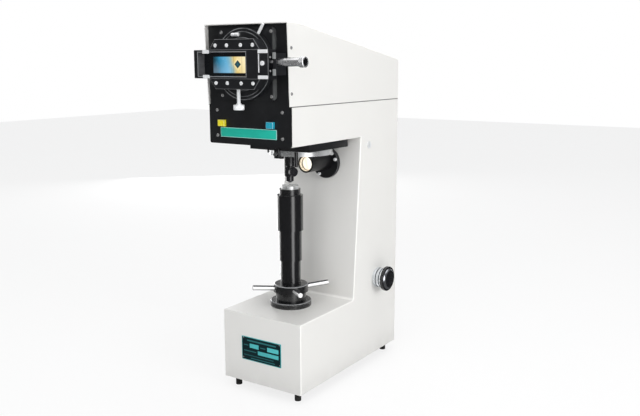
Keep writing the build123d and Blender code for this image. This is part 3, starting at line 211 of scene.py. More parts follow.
class Graph:
    """A node tree. Its method node adds a node and gives one of its outputs as a value; only the closing output
    node, which has none, is added on its own."""

    def __init__(self, tree, output):
        self.tree = tree
        self.tree.nodes.clear()
        self.output = self.tree.nodes.new(output)

    def feed(self, socket, value):
        """Links a value to a socket, or sets a plain number, vector or colour on it, a colour with its alpha."""
        if isinstance(value, Value):
            self.tree.links.new(value.socket, socket)
        else:
            socket.default_value = (*value, 1.0) if socket.type == "RGBA" and len(value) == 3 else value

    def node(self, kind, settings=None, inputs=None, output=0):
        """Adds a node of that kind, makes its settings or its ramp's stops first and then fills its sockets."""
        made = self.tree.nodes.new(kind)
        for key, setting in (settings or {}).items():
            if key == "stops":
                self.fill_ramp(made.color_ramp, setting)
            else:
                setattr(made, key, setting)
        for key, value in (inputs or {}).items():
            self.feed(made.inputs[key], value)
        return Value(self, made.outputs[output])

    def fill_ramp(self, ramp, stops):
        """Gives a ramp its stops, each a place and a colour, from the first to the last."""
        for element, (place, shade) in zip(ramp.elements, (stops[0], stops[-1])):
            element.position, element.color = place, (*shade, 1.0)
        for place, shade in stops[1:-1]:
            ramp.elements.new(place).color = (*shade, 1.0)

    def outputs(self, kind, inputs=None):
        """All outputs of a new node."""
        return self.node(kind, None, inputs).socket.node.outputs

    def split(self, vector):
        """The three parts of a vector, as values."""
        return [Value(self, part) for part in self.outputs("ShaderNodeSeparateXYZ", {0: vector})]

    def axes(self, shift=(0.0, 0.0, 0.0)):
        """The three Object coordinates from the point shift, as values."""
        place = self.node("ShaderNodeTexCoord", output=3)
        return self.split(self.node("ShaderNodeVectorMath", {"operation": "SUBTRACT"}, {0: place, 1: tuple(shift)}))

    def facing(self):
        """The three parts of the direction in which the surface faces, as values."""
        return self.split(self.node("ShaderNodeTexCoord", output=1))

    def front(self):
        """1 on the faces square to the Y axis, and 0 on all others."""
        return abs(self.facing()[1]).fade(0.80, 0.90)

    def rounded(self):
        """1 on the edges between level and upright faces, which face no axis squarely, and 0 on the faces."""
        across, deep, up = (abs(part) for part in self.facing())
        return 1.0 - across.most(deep.most(up)).fade(0.88, 0.985)

    def rims(self, axis=1):
        """1 on the slopes round the faces square to an axis, and 0 on those faces and on the walls along it."""
        along = abs(self.facing()[axis])
        return along.fade(0.35, 0.50) * (1.0 - along.fade(0.86, 0.96))

    def noise(self, scale, detail=2.0, rough=0.5, stretch=(1.0, 1.0, 1.0)):
        """Fractal noise from 0 to 1, with scale in cells per metre."""
        place = self.node("ShaderNodeTexCoord", output=3)
        place = self.node("ShaderNodeMapping", None, {0: place, "Scale": stretch})
        numbers = {"Vector": place, "Scale": scale, "Detail": detail, "Roughness": rough}
        return self.node("ShaderNodeTexNoise", None, numbers)

    def mix(self, factor, first, second):
        """A colour between two others."""
        return self.node("ShaderNodeMix", {"data_type": "RGBA"}, {0: factor, 6: first, 7: second}, 2)

    def rays(self, *kinds):
        """Whether the ray is of a kind, as one value for each kind."""
        outputs = self.outputs("ShaderNodeLightPath")
        return [Value(self, outputs[kind]) for kind in kinds]

    def stack(self, surface, layers):
        """Mixes shaders over a first one, each by its own factor, and links the last to the output."""
        for factor, shade in layers:
            surface = self.node("ShaderNodeMixShader", None, {0: factor, 1: surface, 2: shade})
        self.feed(self.output.inputs["Surface"], surface)


class Finish(Graph):
    """A material with one Principled shader."""

    def __init__(self, name, **numbers):
        self.material = bpy.data.materials.new(name)
        self.material.use_nodes = True
        super().__init__(self.material.node_tree, "ShaderNodeOutputMaterial")
        self.shader = self.node("ShaderNodeBsdfPrincipled")
        self.feed(self.output.inputs["Surface"], self.shader)
        self.fill(numbers)

    def fill(self, values):
        """Feeds each value to the shader's socket of that name."""
        for name, value in values.items():
            label = name.replace("_", " ").title().replace("Ior", "IOR")
            self.feed(self.shader.socket.node.inputs[label], value)

    def bump(self, height, depth, strength):
        """Raises the surface's normal by height times depth in metres."""
        numbers = {"Strength": strength, "Distance": depth, "Height": height}
        self.fill({"normal": self.node("ShaderNodeBump", None, numbers)})

    def made(self, base_color, roughness, **others):
        """Fills the shader's colour, roughness and other sockets, and gives the material."""
        self.fill({"base_color": base_color, "roughness": roughness, **others})
        return self.material


def tint(base, factor):
    """A colour made darker or lighter by a factor."""
    return tuple(min(1.0, channel * factor) for channel in base)


# ---------------------------------------------------------------- finishes


def paint_finish(name, base):
    """Sprayed satin paint: fine orange peel, slow colour drift, dust that gathers towards the bench, a painted
    highlight on the rounded edges, and the dark seam under the head's cover."""
    paint = Finish(name, specular_ior_level=0.5, coat_roughness=0.25)
    height = paint.axes()[2]
    dust = (1.0 - height.fade(0.015, 0.10)) * paint.noise(24.0, 4.0)
    shade = paint.mix(paint.noise(3.5, 3.0), tint(base, 0.965), tint(base, 1.02))
    shade = paint.mix(dust * 0.55, shade, tint(base, 0.72))
    shade = paint.mix(paint.noise(420.0, 2.0).fade(0.70, 0.78) * 0.05, shade, tint(base, 0.6))
    # painted highlight: the colour is lighter on the rounded edges
    shade = paint.mix(paint.rounded() * 0.7, shade, tint(base, 1.2))
    shade = paint.mix(height.band(SEAM_HEIGHT, 0.7 * MM, 1.6 * MM) * 0.9, shade, tint(base, 0.10))
    paint.bump(paint.noise(650.0, 1.0), 0.00022, 0.35)
    return paint.made(shade, 0.31 + 0.10 * paint.noise(60.0, 3.0), coat_weight=0.12)


def enamel(name, base):
    """The black stove enamel that four finishes begin with: the material with its close orange peel, the colour
    with faint dust on it, and the fine part of the roughness."""
    paint = Finish(name, specular_ior_level=0.5)
    paint.bump(paint.noise(900.0, 1.0), 0.00018, 0.30)
    dust = paint.noise(55.0, 5.0).fade(0.50, 0.80)
    return paint, paint.mix(dust * 0.25, base, tint(base, 2.4)), 0.14 * paint.noise(130.0, 3.0)


def black_paint_finish(name, base, gloss):
    """Semi-gloss black enamel with a few hairline rubs, and a painted grey highlight on the rims of the front faces.
    """
    paint, shade, grain = enamel(name, base)
    rub = paint.noise(90.0, 2.0, stretch=(1.0, 1.0, 9.0)).fade(0.68, 0.74)
    shade = paint.mix(rub * 0.30, shade, tint(base, 4.0))
    # painted highlight: grey on the slopes round the front faces
    shade = paint.mix(paint.rims() * 0.35, shade, PAINTED_EDGE_HIGHLIGHT_GREY)
    return paint.made(shade, gloss - 0.04 + grain + 0.05 * rub)


def ring_enamel_finish(name, base, centre, radii):
    """Black enamel with painted grey highlight circles about a level axis, on the ring's steps."""
    paint, shade, grain = enamel(name, base)
    across, _, up = paint.axes(centre)
    radius = across.hypot(up)
    circle_highlight = sum(radius.band(step, 0.5 * MM, 1.1 * MM) for step in radii)
    # painted highlight: grey circles on the ring's front faces at its steps, broken up by noise
    wear = paint.front() * circle_highlight.clamped() * (0.35 + 0.65 * paint.noise(30.0, 3.0).fade(0.35, 0.60))
    return paint.made(paint.mix(wear * 0.85, shade, (0.36, 0.37, 0.38)), 0.24 + grain)


def lit_edge_finish(name, base, edge):
    """Black enamel with a painted soft pale sheen on one upright border that starts at X = edge, and on its wall."""
    paint, shade, grain = enamel(name, base)
    # painted sheen on the border past X = edge
    sheen = paint.axes()[0].fade(edge - 2.5 * MM, edge + 2.0 * MM)
    sheen = sheen * (0.55 + 0.45 * paint.noise(18.0, 3.0).fade(0.3, 0.6))
    return paint.made(paint.mix(sheen, shade, (0.115, 0.12, 0.12)), 0.26 + grain)


def window_enamel_finish(name, base, centre, half_width, half_height):
    """Black enamel of the slide: a painted grey highlight on its edges and in a line round the window, and painted
    light on the window's left wall."""
    paint, shade, grain = enamel(name, base)
    across, _, up = paint.axes(centre)
    outside = (abs(across) - half_width).most(abs(up) - half_height)
    line = paint.front() * outside.band(0.7 * MM, 0.5 * MM, 1.0 * MM) * 0.75
    # painted light on the window's left wall
    wall = paint.facing()[0].fade(0.5, 0.8) * (across < 0.0) * (abs(up) < half_height)
    shade = paint.mix(wall * paint.noise(40.0, 3.0), shade, (0.16, 0.16, 0.165))
    # painted highlight: the grey line round the window and on the slopes of the edges
    shade = paint.mix(line.most(paint.rims() * 0.35), shade, (0.40, 0.41, 0.42))
    return paint.made(shade, 0.24 + grain)


def blued_finish(name, base, centre, gloss, rim=0.0):
    """Polished black oxide on a turned bar: fine lathe rings up its length, small bright rubs, and a painted grey
    highlight on its chamfers, as strong as rim."""
    steel = Finish(name, specular_ior_level=0.65, coat_roughness=0.08)
    across, deep, height = steel.axes(centre)
    rub = steel.noise(160.0, 3.0, stretch=(1.0, 1.0, 0.12)).fade(0.62, 0.78)
    shade = steel.mix(rub * 0.5, base, tint(base, 3.2))
    shade = steel.mix((across.hypot(deep) * 900.0).sine() * 0.04 + 0.04, shade, tint(base, 2.0))
    # painted highlight on the chamfers
    shade = steel.mix(steel.rims(2) * rim, shade, PAINTED_EDGE_HIGHLIGHT_GREY)
    steel.bump((height * 5200.0 + 2.0 * steel.noise(35.0)).sine(), 0.000012, 0.5)
    return steel.made(shade, gloss + 0.07 * steel.noise(80.0, 3.0) + 0.10 * rub, coat_weight=0.35)


def chrome_finish(name):
    """Bright chrome plating with fine wiping marks and a little haze."""
    chrome = Finish(name, metallic=1.0)
    haze = chrome.noise(45.0, 4.0)
    marks = chrome.noise(380.0, 2.0, stretch=(1.0, 0.15, 1.0)).fade(0.60, 0.75)
    chrome.bump(chrome.noise(120.0, 2.0), 0.00006, 0.25)
    bright = (0.82, 0.83, 0.85)
    return chrome.made(chrome.mix(haze, bright, tint(bright, 0.88)), 0.09 + 0.06 * haze + 0.07 * marks)


def satin_finish(name, base=(0.92, 0.93, 0.94), gloss=0.28, metallic=0.15):
    """Pearl chrome: a bright soft plate that is white from every side, with faint wiping marks."""
    pearl = Finish(name, metallic=metallic, specular_ior_level=0.6)
    haze = pearl.noise(60.0, 3.0)
    pearl.bump(pearl.noise(300.0, 2.0), 0.00004, 0.25)
    return pearl.made(pearl.mix(haze, base, tint(base, 0.90)), gloss + 0.08 * haze)


def cupped_finish(name, base, centre, face, bore):
    """Pearl chrome whose end cup is black: nearer the axis than bore and past the plane X = face."""
    pearl = Finish(name, metallic=0.85, specular_ior_level=0.6)
    along, deep, up = pearl.axes(centre)
    cup = (along > face) * (deep.hypot(up) < bore)
    grain = pearl.noise(60.0, 4.0, stretch=(0.6, 14.0, 14.0))
    shade = pearl.mix(grain, tint(base, 0.86), tint(base, 1.06))
    return pearl.made(pearl.mix(cup, shade, (0.02, 0.02, 0.022)), 0.20 + 0.10 * grain)


def dial_finish(name, base, centre, start, rim):
    """Turned aluminium with painted shade in its grooves and a ring of fine division lines on its middle band."""
    silver = Finish(name, metallic=0.9)
    along, deep, up = silver.axes(centre)
    from_wall = along - start
    # painted shade in the dial's two grooves
    groove_shade = sum(from_wall.band(place * MM, 1.0 * MM, 1.4 * MM) for place in (10.0, 19.5))
    line = (up.bearing(deep) * (48.0 / TURN)).apply("FRACT") < 0.16
    line = line * (from_wall > 12.0 * MM) * (from_wall < 16.0 * MM)
    # painted shade in the grooves, together with the real division lines
    dark = (groove_shade + line * 0.8).clamped() * (deep.hypot(up) > 0.8 * rim)
    grain = silver.noise(120.0, 3.0, stretch=(8.0, 1.0, 1.0))
    shade = silver.mix(grain, tint(base, 0.80), tint(base, 1.08))
    return silver.made(silver.mix(dark * 0.85, shade, (0.03, 0.035, 0.045)), 0.20 + 0.12 * grain)


def rod_finish(name):
    """A level chromed rod with a painted reflection of the dark room: bright along its side, and dark on its top
    and underside.
    """
    rod = Finish(name, metallic=0.35)
    # painted reflection: light on the rod's side, dark on its top and underside
    shade = rod.mix(abs(rod.facing()[2]).fade(0.42, 0.80), (0.90, 0.90, 0.90), (0.05, 0.05, 0.055))
    return rod.made(shade, 0.20 + 0.08 * rod.noise(80.0, 3.0))


def turned_finish(name, base, centre, gloss, metallic):
    """Face-turned bright steel: concentric tool rings about an upright axis, and grain round the rim."""
    steel = Finish(name, metallic=metallic)
    across, deep, height = steel.axes(centre)
    rings = (across.hypot(deep) * (TURN / TOOL_RING_PITCH)).sine()
    sectors = (deep.bearing(across) * 7.0 + steel.noise(9.0) * 3.0).sine()
    grain = steel.noise(260.0, 3.0, stretch=(1.0, 1.0, 6.0))
    shade = steel.mix(sectors * 0.5 + 0.5, tint(base, 0.70), tint(base, 1.08))
    steel.bump(rings + (height * 9000.0).sine() * 0.5, 0.000014, 0.5)
    return steel.made(steel.mix(grain * 0.25, shade, tint(base, 0.8)), gloss + 0.10 * grain + 0.04 * sectors)


def drawn_finish(name, base, axis, gloss=0.28):
    """Ground or drawn bright metal: grain that runs along one axis."""
    steel = Finish(name, metallic=1.0)
    grain = steel.noise(60.0, 4.0, stretch=tuple(0.6 if number == axis else 14.0 for number in range(3)))
    stain = steel.noise(22.0, 4.0).fade(0.45, 0.75)
    shade = steel.mix(grain, tint(base, 0.86), tint(base, 1.06))
    steel.bump(grain, 0.00004, 0.4)
    return steel.made(steel.mix(stain * 0.30, shade, tint(base, 0.72)), gloss + 0.12 * grain + 0.08 * stain)


def anodised_finish(name, base):
    """Black anodised aluminium: deep soft black with a fine even grain."""
    metal = Finish(name, metallic=0.55)
    grain = metal.noise(700.0, 2.0)
    rub = metal.noise(70.0, 4.0).fade(0.60, 0.80)
    shade = metal.mix(grain * 0.5, base, tint(base, 1.7))
    metal.bump(grain, 0.00005, 0.4)
    return metal.made(metal.mix(rub * 0.25, shade, tint(base, 3.5)), 0.30 + 0.12 * grain)


def cast_finish(name, base, gloss=0.55):
    """Plain cast iron with its sand-grained skin and a thin oil film."""
    iron = Finish(name, metallic=0.6)
    sand = iron.noise(420.0, 4.0, 0.6)
    iron.bump(sand, 0.0003, 0.6)
    shade = iron.mix(sand, tint(base, 0.7), tint(base, 1.35))
    return iron.made(shade, gloss - 0.18 * iron.noise(14.0, 3.0) + 0.10 * sand)


def plastic_finish(name, base):
    """Moulded plastic with a faint skin, hand polish and a painted pale highlight on its rims."""
    skin = Finish(name, specular_ior_level=0.5)
    wear = skin.noise(75.0, 3.0)
    shade = skin.mix(wear * 0.35, base, tint(base, 0.84))
    skin.bump(skin.noise(900.0, 1.0), 0.00008, 0.3)
    # painted highlight: pale on the rims
    return skin.made(skin.mix(skin.rims() * 0.35, shade, (0.80, 0.86, 0.86)), 0.22 + 0.10 * wear, coat_weight=0.10)


def phenolic_finish(name, base, centre, inner, outer):
    """Polished black phenolic with the faint marks of fingers, and a chromed ring between two radii about X."""
    skin = Finish(name, specular_ior_level=0.6)
    _, deep, up = skin.axes(centre)
    radius = deep.hypot(up)
    ring = (radius > inner) * (radius < outer) * abs(skin.facing()[0]).fade(0.3, 0.4)
    touch = skin.noise(60.0, 4.0).fade(0.45, 0.75)
    shade = skin.mix(touch * 0.3, base, tint(base, 1.8))
    return skin.made(skin.mix(ring, shade, (0.80, 0.82, 0.88)), 0.09 + 0.12 * touch, metallic=ring)


def rubber_finish(name):
    """Black rubber with a chalky bloom and a moulded grain."""
    rubber = Finish(name, specular_ior_level=0.3)
    bloom = rubber.noise(120.0, 4.0)
    rubber.bump(rubber.noise(900.0, 2.0), 0.0001, 0.5)
    return rubber.made(rubber.mix(bloom * 0.6, (0.012, 0.012, 0.012), (0.045, 0.044, 0.042)), 0.62 + 0.2 * bloom)


def screen_finish(name, centre, half_width, half_height):
    """The lit ground glass: a level field that runs from dark blue at its left to warm yellow at its right, with
    the dark square image of an indent standing on its corner, its light halo, and fine lines of a scale."""
    glass = Finish(name, specular_ior_level=0.5, coat_roughness=0.04)
    right, _, up = glass.axes(centre)
    across = right / half_width
    rise = up / half_height
    drift = glass.noise(28.0, 3.0)
    position = (across * 0.5 + 0.5 + (drift - 0.5) * 0.24 + rise * 0.05).clamped()
    stops = (
        (0.00, (0.004, 0.010, 0.014)),
        (0.09, (0.012, 0.060, 0.090)),
        (0.20, (0.030, 0.230, 0.390)),
        (0.42, (0.120, 0.400, 0.620)),
        (0.58, (0.280, 0.460, 0.480)),
        (0.72, (0.760, 0.580, 0.200)),
        (1.00, (0.980, 0.860, 0.540)),
    )
    glow = glass.node("ShaderNodeValToRGB", {"stops": stops}, {0: position})
    glow = glass.mix((0.0 - rise).fade(-0.6, 1.0) * 0.28 * (across < 0.1), glow, (0.42, 0.66, 0.88))
    diamond = abs(right - 26.0 * MM) + abs(up - 1.2 * MM)
    glow = glass.mix((1.0 - diamond.fade(11.5 * MM, 19.0 * MM)) * 0.45, glow, (0.97, 0.86, 0.52))
    core = glass.mix(diamond.fade(0.0, 9.0 * MM), (0.030, 0.120, 0.150), (0.012, 0.045, 0.060))
    glow = glass.mix(1.0 - diamond.fade(9.0 * MM, 10.4 * MM), glow, core)
    for line, strength in ((14.0 * MM, 0.45), (38.5 * MM, 0.35)):
        glow = glass.mix(right.band(line, 0.35 * MM, 0.8 * MM) * strength, glow, (0.02, 0.06, 0.08))
    inside = (1.0 - abs(across).fade(0.965, 1.0)) * (1.0 - abs(rise).fade(0.90, 1.0))
    glow = glass.mix(inside, (0.0035, 0.0042, 0.0050), glow)
    unlit = glass.mix(0.85, glow, (0.0, 0.0, 0.0))
    return glass.made(unlit, 0.20 + 0.15 * drift, emission_color=glow, emission_strength=0.95)


def lens_finish(name, glow, centre, radius):
    """The lit condenser: a bright warm disc that falls off to its rim, with a soft filament bar."""
    lens = Finish(name, coat_weight=0.6, coat_roughness=0.03, emission_strength=1.05)
    across, _, up = lens.axes(centre)
    rim = (across.hypot(up) / radius).fade(0.72, 1.0)
    bar = 1.0 - (abs(across + 0.30 * radius + up * 0.25) / radius).fade(0.04, 0.26)
    light = lens.mix(bar * 0.55, (1.0, 0.965, 0.88), tint(glow, 0.85))
    light = lens.mix(rim * 0.75, light, (0.62, 0.44, 0.24))
    unlit = lens.mix(0.8, light, (0.02, 0.02, 0.02))
    return lens.made(unlit, 0.08 + 0.05 * lens.noise(90.0), emission_color=light)


def lit_tube_finish(name, base, glow, centre, bore, depth):
    """A black tube whose bore carries a painted glow of the lamp's light: a warm crescent from its mouth to the lens.
    """
    tube = Finish(name, metallic=0.3, emission_strength=0.95)
    across, along, up = tube.axes(centre)
    # painted light: the bore glows with the lamp's colour and is tinted warm
    inner = (across.hypot(up) < bore + 0.3 * MM) * (1.0 - along.fade(0.80 * depth, depth))
    inner = inner * along.fade(0.0, 0.12 * depth)
    light = inner * (0.45 + 0.55 * tube.noise(160.0, 2.0).fade(0.30, 0.60))
    seen = tube.mix(light, (0.0, 0.0, 0.0), glow)
    skin = tube.mix(inner, base, (0.10, 0.08, 0.05))
    return tube.made(skin, 0.24 + 0.12 * tube.noise(700.0, 2.0), emission_color=seen)


def mirror_finish(name):
    """A front-silvered mirror with faint dust."""
    silver = Finish(name, metallic=1.0)
    dust = silver.noise(260.0, 4.0).fade(0.55, 0.8)
    return silver.made(silver.mix(dust * 0.4, (0.93, 0.94, 0.95), (0.6, 0.6, 0.58)), 0.02 + 0.25 * dust)


def bare_plate_finish(name, base, line, low, high, border, fields):
    """A printed bare plate: its ground, one pale line round its edge, and blank pale fields. low and high are
    its corners across X and Z, and each field is left, bottom, right, top and how strongly it is printed."""
    plate = Finish(name, specular_ior_level=0.3)
    across, _, up = plate.axes()
    inset = (across - low[0]).least(high[0] - across).least((up - low[1]).least(high[1] - up))
    ink = inset < border
    for left, bottom, right, top, strength in fields:
        ink = ink.most((across > left) * (across < right) * (up > bottom) * (up < top) * strength)
    wear = plate.noise(150.0, 4.0)
    ground = plate.mix(plate.noise(18.0, 3.0), tint(base, 0.82), tint(base, 1.22))
    plate.bump(ink + plate.noise(700.0, 1.0) * 0.3, 0.00008, 0.4)
    return plate.made(plate.mix(ink * (0.75 + 0.25 * wear), ground, line), 0.40 + 0.16 * wear)


# ---------------------------------------------------------------- surfaces


def grid_faces(rows, columns, wrap):
    """Quads of a grid of points in row order; with wrap, the last column meets the first."""
    across = columns if wrap else columns - 1
    row, column = np.meshgrid(np.arange(rows - 1), np.arange(across), indexing="ij")
    row, column = row.ravel() * columns, column.ravel()
    beside = (column + 1) % columns
    return np.stack((row + column, row + beside, row + columns + beside, row + columns + column), axis=1)


def mesh_piece(name, parts, material, body, stands_for=None):
    """One object from several (points, faces) parts, its normals recalculated, riding on a body. It may stand
    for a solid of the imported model."""
    points = []
    faces = []
    for part_points, part_faces in parts:
        faces.extend((part_faces + sum(map(len, points))).tolist())
        points.append(part_points)
    mesh = bpy.data.meshes.new(name)
    mesh.from_pydata(np.concatenate(points).tolist(), [], faces)
    mesh.validate()
    shell = bmesh.new()
    shell.from_mesh(mesh)
    bmesh.ops.remove_doubles(shell, verts=shell.verts, dist=MERGE_DISTANCE)
    bmesh.ops.recalc_face_normals(shell, faces=shell.faces)
    shell.to_mesh(mesh)
    shell.free()
    mesh.materials.append(material)
    mesh.shade_smooth()
    mesh.set_sharp_from_angle(angle=SHARP_ANGLE)
    piece = bpy.data.objects.new(name, mesh)
    bpy.context.scene.collection.objects.link(piece)
    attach(piece, body)
    if stands_for:
        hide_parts(stands_for)


def axis_frame(axis):
    """Two unit vectors square to an axis and to each other, and the axis."""
    axis = np.asarray(axis, float)
    side = np.cross(Z_AXIS if abs(axis[2]) < 0.9 else X_AXIS, axis)
    side = side / np.linalg.norm(side)
    return side, np.cross(axis, side), axis


def turned_part(start, axis, profile, segments, ripple=None):
    """A turned surface: each profile row is (distance along the axis, radius), carried round the axis. ripple is
    a function of (distance, bearing) whose value is added to the radius. The ends at radius 0 close by themselves."""
    side, up, along = axis_frame(axis)
    bearing = np.linspace(0.0, TURN, segments, endpoint=False)
    distance, radius = (np.repeat(column[:, None], segments, axis=1) for column in np.array(profile, float).T)
    if ripple is not None:
        radius = radius + ripple(distance, bearing[None, :] + 0.0 * distance) * (radius > 0.0)
    points = (
        np.asarray(start, float)
        + distance[..., None] * along
        + (radius * np.cos(bearing))[..., None] * side
        + (radius * np.sin(bearing))[..., None] * up
    )
    return points.reshape(-1, 3), grid_faces(len(profile), segments, True)


def slab(centre, width, height, thickness, corner, edge):
    """A thin plate that looks to -Y, with round corners and a small bevel: rounded rectangles, each a grid row,
    carried from the back face to the front one and closed in the middle of both faces."""
    centre = np.asarray(centre, float)
    bearing = np.linspace(0.0, TURN, 48, endpoint=False)
    square_x = np.sign(np.cos(bearing)) * (width / 2.0 - corner)
    square_z = np.sign(np.sin(bearing)) * (height / 2.0 - corner)

    def ring(shrink, lift):
        """The corner's centre plus its radius, less shrink, times (cos a, sin a), lifted off the back face."""
        round_x = square_x + (corner - shrink) * np.cos(bearing)
        round_z = square_z + (corner - shrink) * np.sin(bearing)
        return centre + round_x[:, None] * X_AXIS + round_z[:, None] * Z_AXIS - lift * Y_AXIS

    def middle(lift):
        """The middle of a face, once for each point of a ring."""
        return np.repeat((centre - lift * Y_AXIS)[None, :], len(bearing), axis=0)

    rows = (
        middle(0.0),
        ring(0.0, 0.0),
        ring(0.0, thickness - edge),
        ring(edge * 0.3, thickness - edge * 0.3),
        ring(edge, thickness),
        middle(thickness),
    )
    return np.concatenate(rows), grid_faces(len(rows), len(bearing), True)


def slotted_head(seat, axis, radius, height, slot_width, turn):
    """A cheese-head screw with a domed face and a straight slot. A round grid takes its points at (u, v), with v
    from -sqrt(1 - u^2) to sqrt(1 - u^2) in shares of the radius; a skirt closes it down to the seat."""
    side, up, along = axis_frame(axis)
    seat = np.asarray(seat, float)
    turned_side = math.cos(turn) * side + math.sin(turn) * up
    turned_up = -math.sin(turn) * side + math.cos(turn) * up
    half_slot = slot_width / 2.0 / radius

    def dome(u, share):
        """h (1 - dome drop share^2 - rim drop past the rim's start), less the slot's depth where |u| is in it."""
        bevel = RIM_DROP * np.clip(share - RIM_START, 0.0, 1.0) / (1.0 - RIM_START)
        lift = height * (1.0 - DOME_DROP * share**2 - bevel)
        return np.where(np.abs(u) < half_slot * 1.01, lift - SLOT_DEPTH * height, lift)

    def spots(u, v, lift):
        """The seat plus R (u, v) across the head, plus the lift along its axis."""
        return seat + radius * (u[..., None] * turned_side + v[..., None] * turned_up) + lift[..., None] * along

    steps = np.linspace(-1.0, 1.0, 25)
    slot_sides = np.array((half_slot, half_slot * 1.02 + 0.02))
    across = np.unique(np.concatenate((steps, slot_sides, -slot_sides)))
    reach = np.sqrt(np.clip(1.0 - across**2, 0.0, 1.0))
    grid_u = across[:, None] + 0.0 * steps[None, :]
    grid_v = reach[:, None] * steps[None, :]
    top = spots(grid_u, grid_v, dome(grid_u, np.sqrt(grid_u**2 + grid_v**2)))
    rim_u = np.concatenate((across, across[::-1]))
    rim_v = np.concatenate((reach, -reach[::-1]))
    flat = np.zeros_like(rim_u)
    skirt = np.stack((spots(rim_u, rim_v, dome(rim_u, 1.0)), spots(rim_u, rim_v, flat), spots(flat, flat, flat)))
    return [
        (top.reshape(-1, 3), grid_faces(len(across), len(steps), False)),
        (skirt.reshape(-1, 3), grid_faces(3, len(rim_u), True)),
    ]


def knurl(count, depth, start, end, pitch=None):
    """A knurl for a turned part, between two distances along the axis: straight, depth/2 (cos(count a) - 1), or
    with a pitch two crossing helical waves, depth/2 (cos(count a + k d) cos(count a - k d) - 1)."""

    def ripple(distance, bearing):
        """Half the depth times (wave - 1) between start and end, and nothing outside them."""
        wave = np.cos(count * bearing)
        if pitch:
            twist = TURN * distance / pitch
            wave = np.cos(count * bearing + twist) * np.cos(count * bearing - twist)
        return np.where((distance > start) & (distance < end), depth * 0.5 * (wave - 1.0), 0.0)

    return ripple


def bare_plate(name, centre, width, height, corner, finish_name, base, line, border, fields=()):
    """A thin bare plate on the housing, with its printed border and blank fields."""
    thickness = bpy.context.scene.tester_sizes.plate_thickness
    low, high = ((centre[0] + end * width / 2.0, centre[2] + end * height / 2.0) for end in (-1.0, 1.0))
    finish = bare_plate_finish(finish_name, base, line, low, high, border, fields)
    plate = slab(centre, width, height, thickness, corner, 0.35 * MM)
    mesh_piece(name, [plate], finish, "housing")


def dress(names, material):
    """Puts a finish on the solids of those names."""
    for name in names:
        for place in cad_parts[name].material_slots:
            place.material = material


# ---------------------------------------------------------------- operators, one for each piece or group


class TESTER_OT_housing(bpy.types.Operator):
    """Paints the housing, its covers and the base, and gives the feet their rubber"""

    bl_idname = "tester.housing"
    bl_label = "Housing"

    def execute(self, context):
        colours = context.scene.tester_colours
        dress(("main_housing", "upper_cover", "rear_cover"), paint_finish("housing_paint", colours.housing))
        dress(("base_plate",), drawn_finish("base_plate_steel", (0.42, 0.42, 0.43), 1))
        dress(("levelling_feet",), rubber_finish("foot_rubber"))
        dress(("side_lock",), satin_finish("lock_satin", (0.80, 0.81, 0.82)))
        return {"FINISHED"}


class TESTER_OT_panel(bpy.types.Operator):
    """Enamels the front panel and colours its two buttons"""

    bl_idname = "tester.panel"
    bl_label = "Front panel"

    def execute(self, context):
        colours = context.scene.tester_colours
        dress(("front_panel",), black_paint_finish("panel_enamel", colours.panel, 0.42))
        dress(("start_button",), plastic_finish("start_plastic", colours.start))
        dress(("lamp_button",), plastic_finish("lamp_plastic", colours.lamp))
        return {"FINISHED"}


class TESTER_OT_screen(bpy.types.Operator):
    """Finishes the turning screen, and lights its ground glass"""

    bl_idname = "tester.screen"
    bl_label = "Measuring screen"

    def execute(self, context):
        black = tint(context.scene.tester_colours.panel, 1.25)
        window = (-36.5 * MM, 0.0, SCREEN_AXIS[2])
        # radii of the painted highlight circles on the ring
        highlight_circles = (83.2 * MM, 75.6 * MM, 62.0 * MM)
        dress(("guide_rails", "micrometer_bracket"), black_paint_finish("screen_enamel", black, 0.28))
        dress(("screen_ring",), ring_enamel_finish("ring_enamel", black, SCREEN_AXIS, highlight_circles))
        dress(("bezel_plate",), lit_edge_finish("bezel_enamel", black, 79.0 * MM))
        dress(("slide_frame",), window_enamel_finish("slide_enamel", black, window, 73.5 * MM, 28.0 * MM))
        dress(("guide_blocks", "ring_lever"), satin_finish("screen_satin"))
        image = screen_finish("screen_image", (-29.4 * MM, 0.0, 850.6 * MM), 50.1 * MM, 20.0 * MM)
        dress(("screen_glass",), image)
        return {"FINISHED"}


class TESTER_OT_turret(bpy.types.Operator):
    """Finishes the turret, the indenter and the objective"""

    bl_idname = "tester.turret"
    bl_label = "Turret"

    def execute(self, context):
        black = tint(context.scene.tester_colours.panel, 1.1)
        dress(("turret_plate",), black_paint_finish("turret_enamel", black, 0.36))
        dress(("turret_disc",), turned_finish("turret_steel", (0.86, 0.87, 0.88), TURRET_AXIS, 0.26, 0.6))
        blued = blued_finish("turret_blued", (0.010, 0.010, 0.012), TEST_AXIS, 0.22)
        dress(("detent_block", "turret_handle", "indenter_holder", "indenter_spindle"), blued)
        dress(("indenter_clamp_screw", "diamond_indenter"), blued)
        dress(("detent_plunger",), chrome_finish("turret_chrome"))
        dress(("objective",), anodised_finish("objective_black", (0.012, 0.012, 0.013)))
        return {"FINISHED"}


class TESTER_OT_lamp(bpy.types.Operator):
    """Finishes the lamp house and lights its condenser"""

    bl_idname = "tester.lamp"
    bl_label = "Lamp house"

    def execute(self, context):
        colours = context.scene.tester_colours
        dress(("lamp_drum",), black_paint_finish("lamp_enamel", tint(colours.panel, 1.1), 0.30))
        low, high = node_box("lamp_lens")
        centre = (low + high) / 2.0
        mouth = node_box("lamp_tube")[0][1]
        place = (centre[0], mouth, centre[2])
        bore = (high[0] - low[0]) / 2.0
        tube = lit_tube_finish("lamp_tube_black", (0.011, 0.011, 0.012), colours.glow, place, bore, low[1] - mouth)
        dress(("lamp_tube",), tube)
        dress(("lamp_lens", "lamp_bulb"), lens_finish("lamp_lens_light", colours.glow, centre, bore))
        return {"FINISHED"}


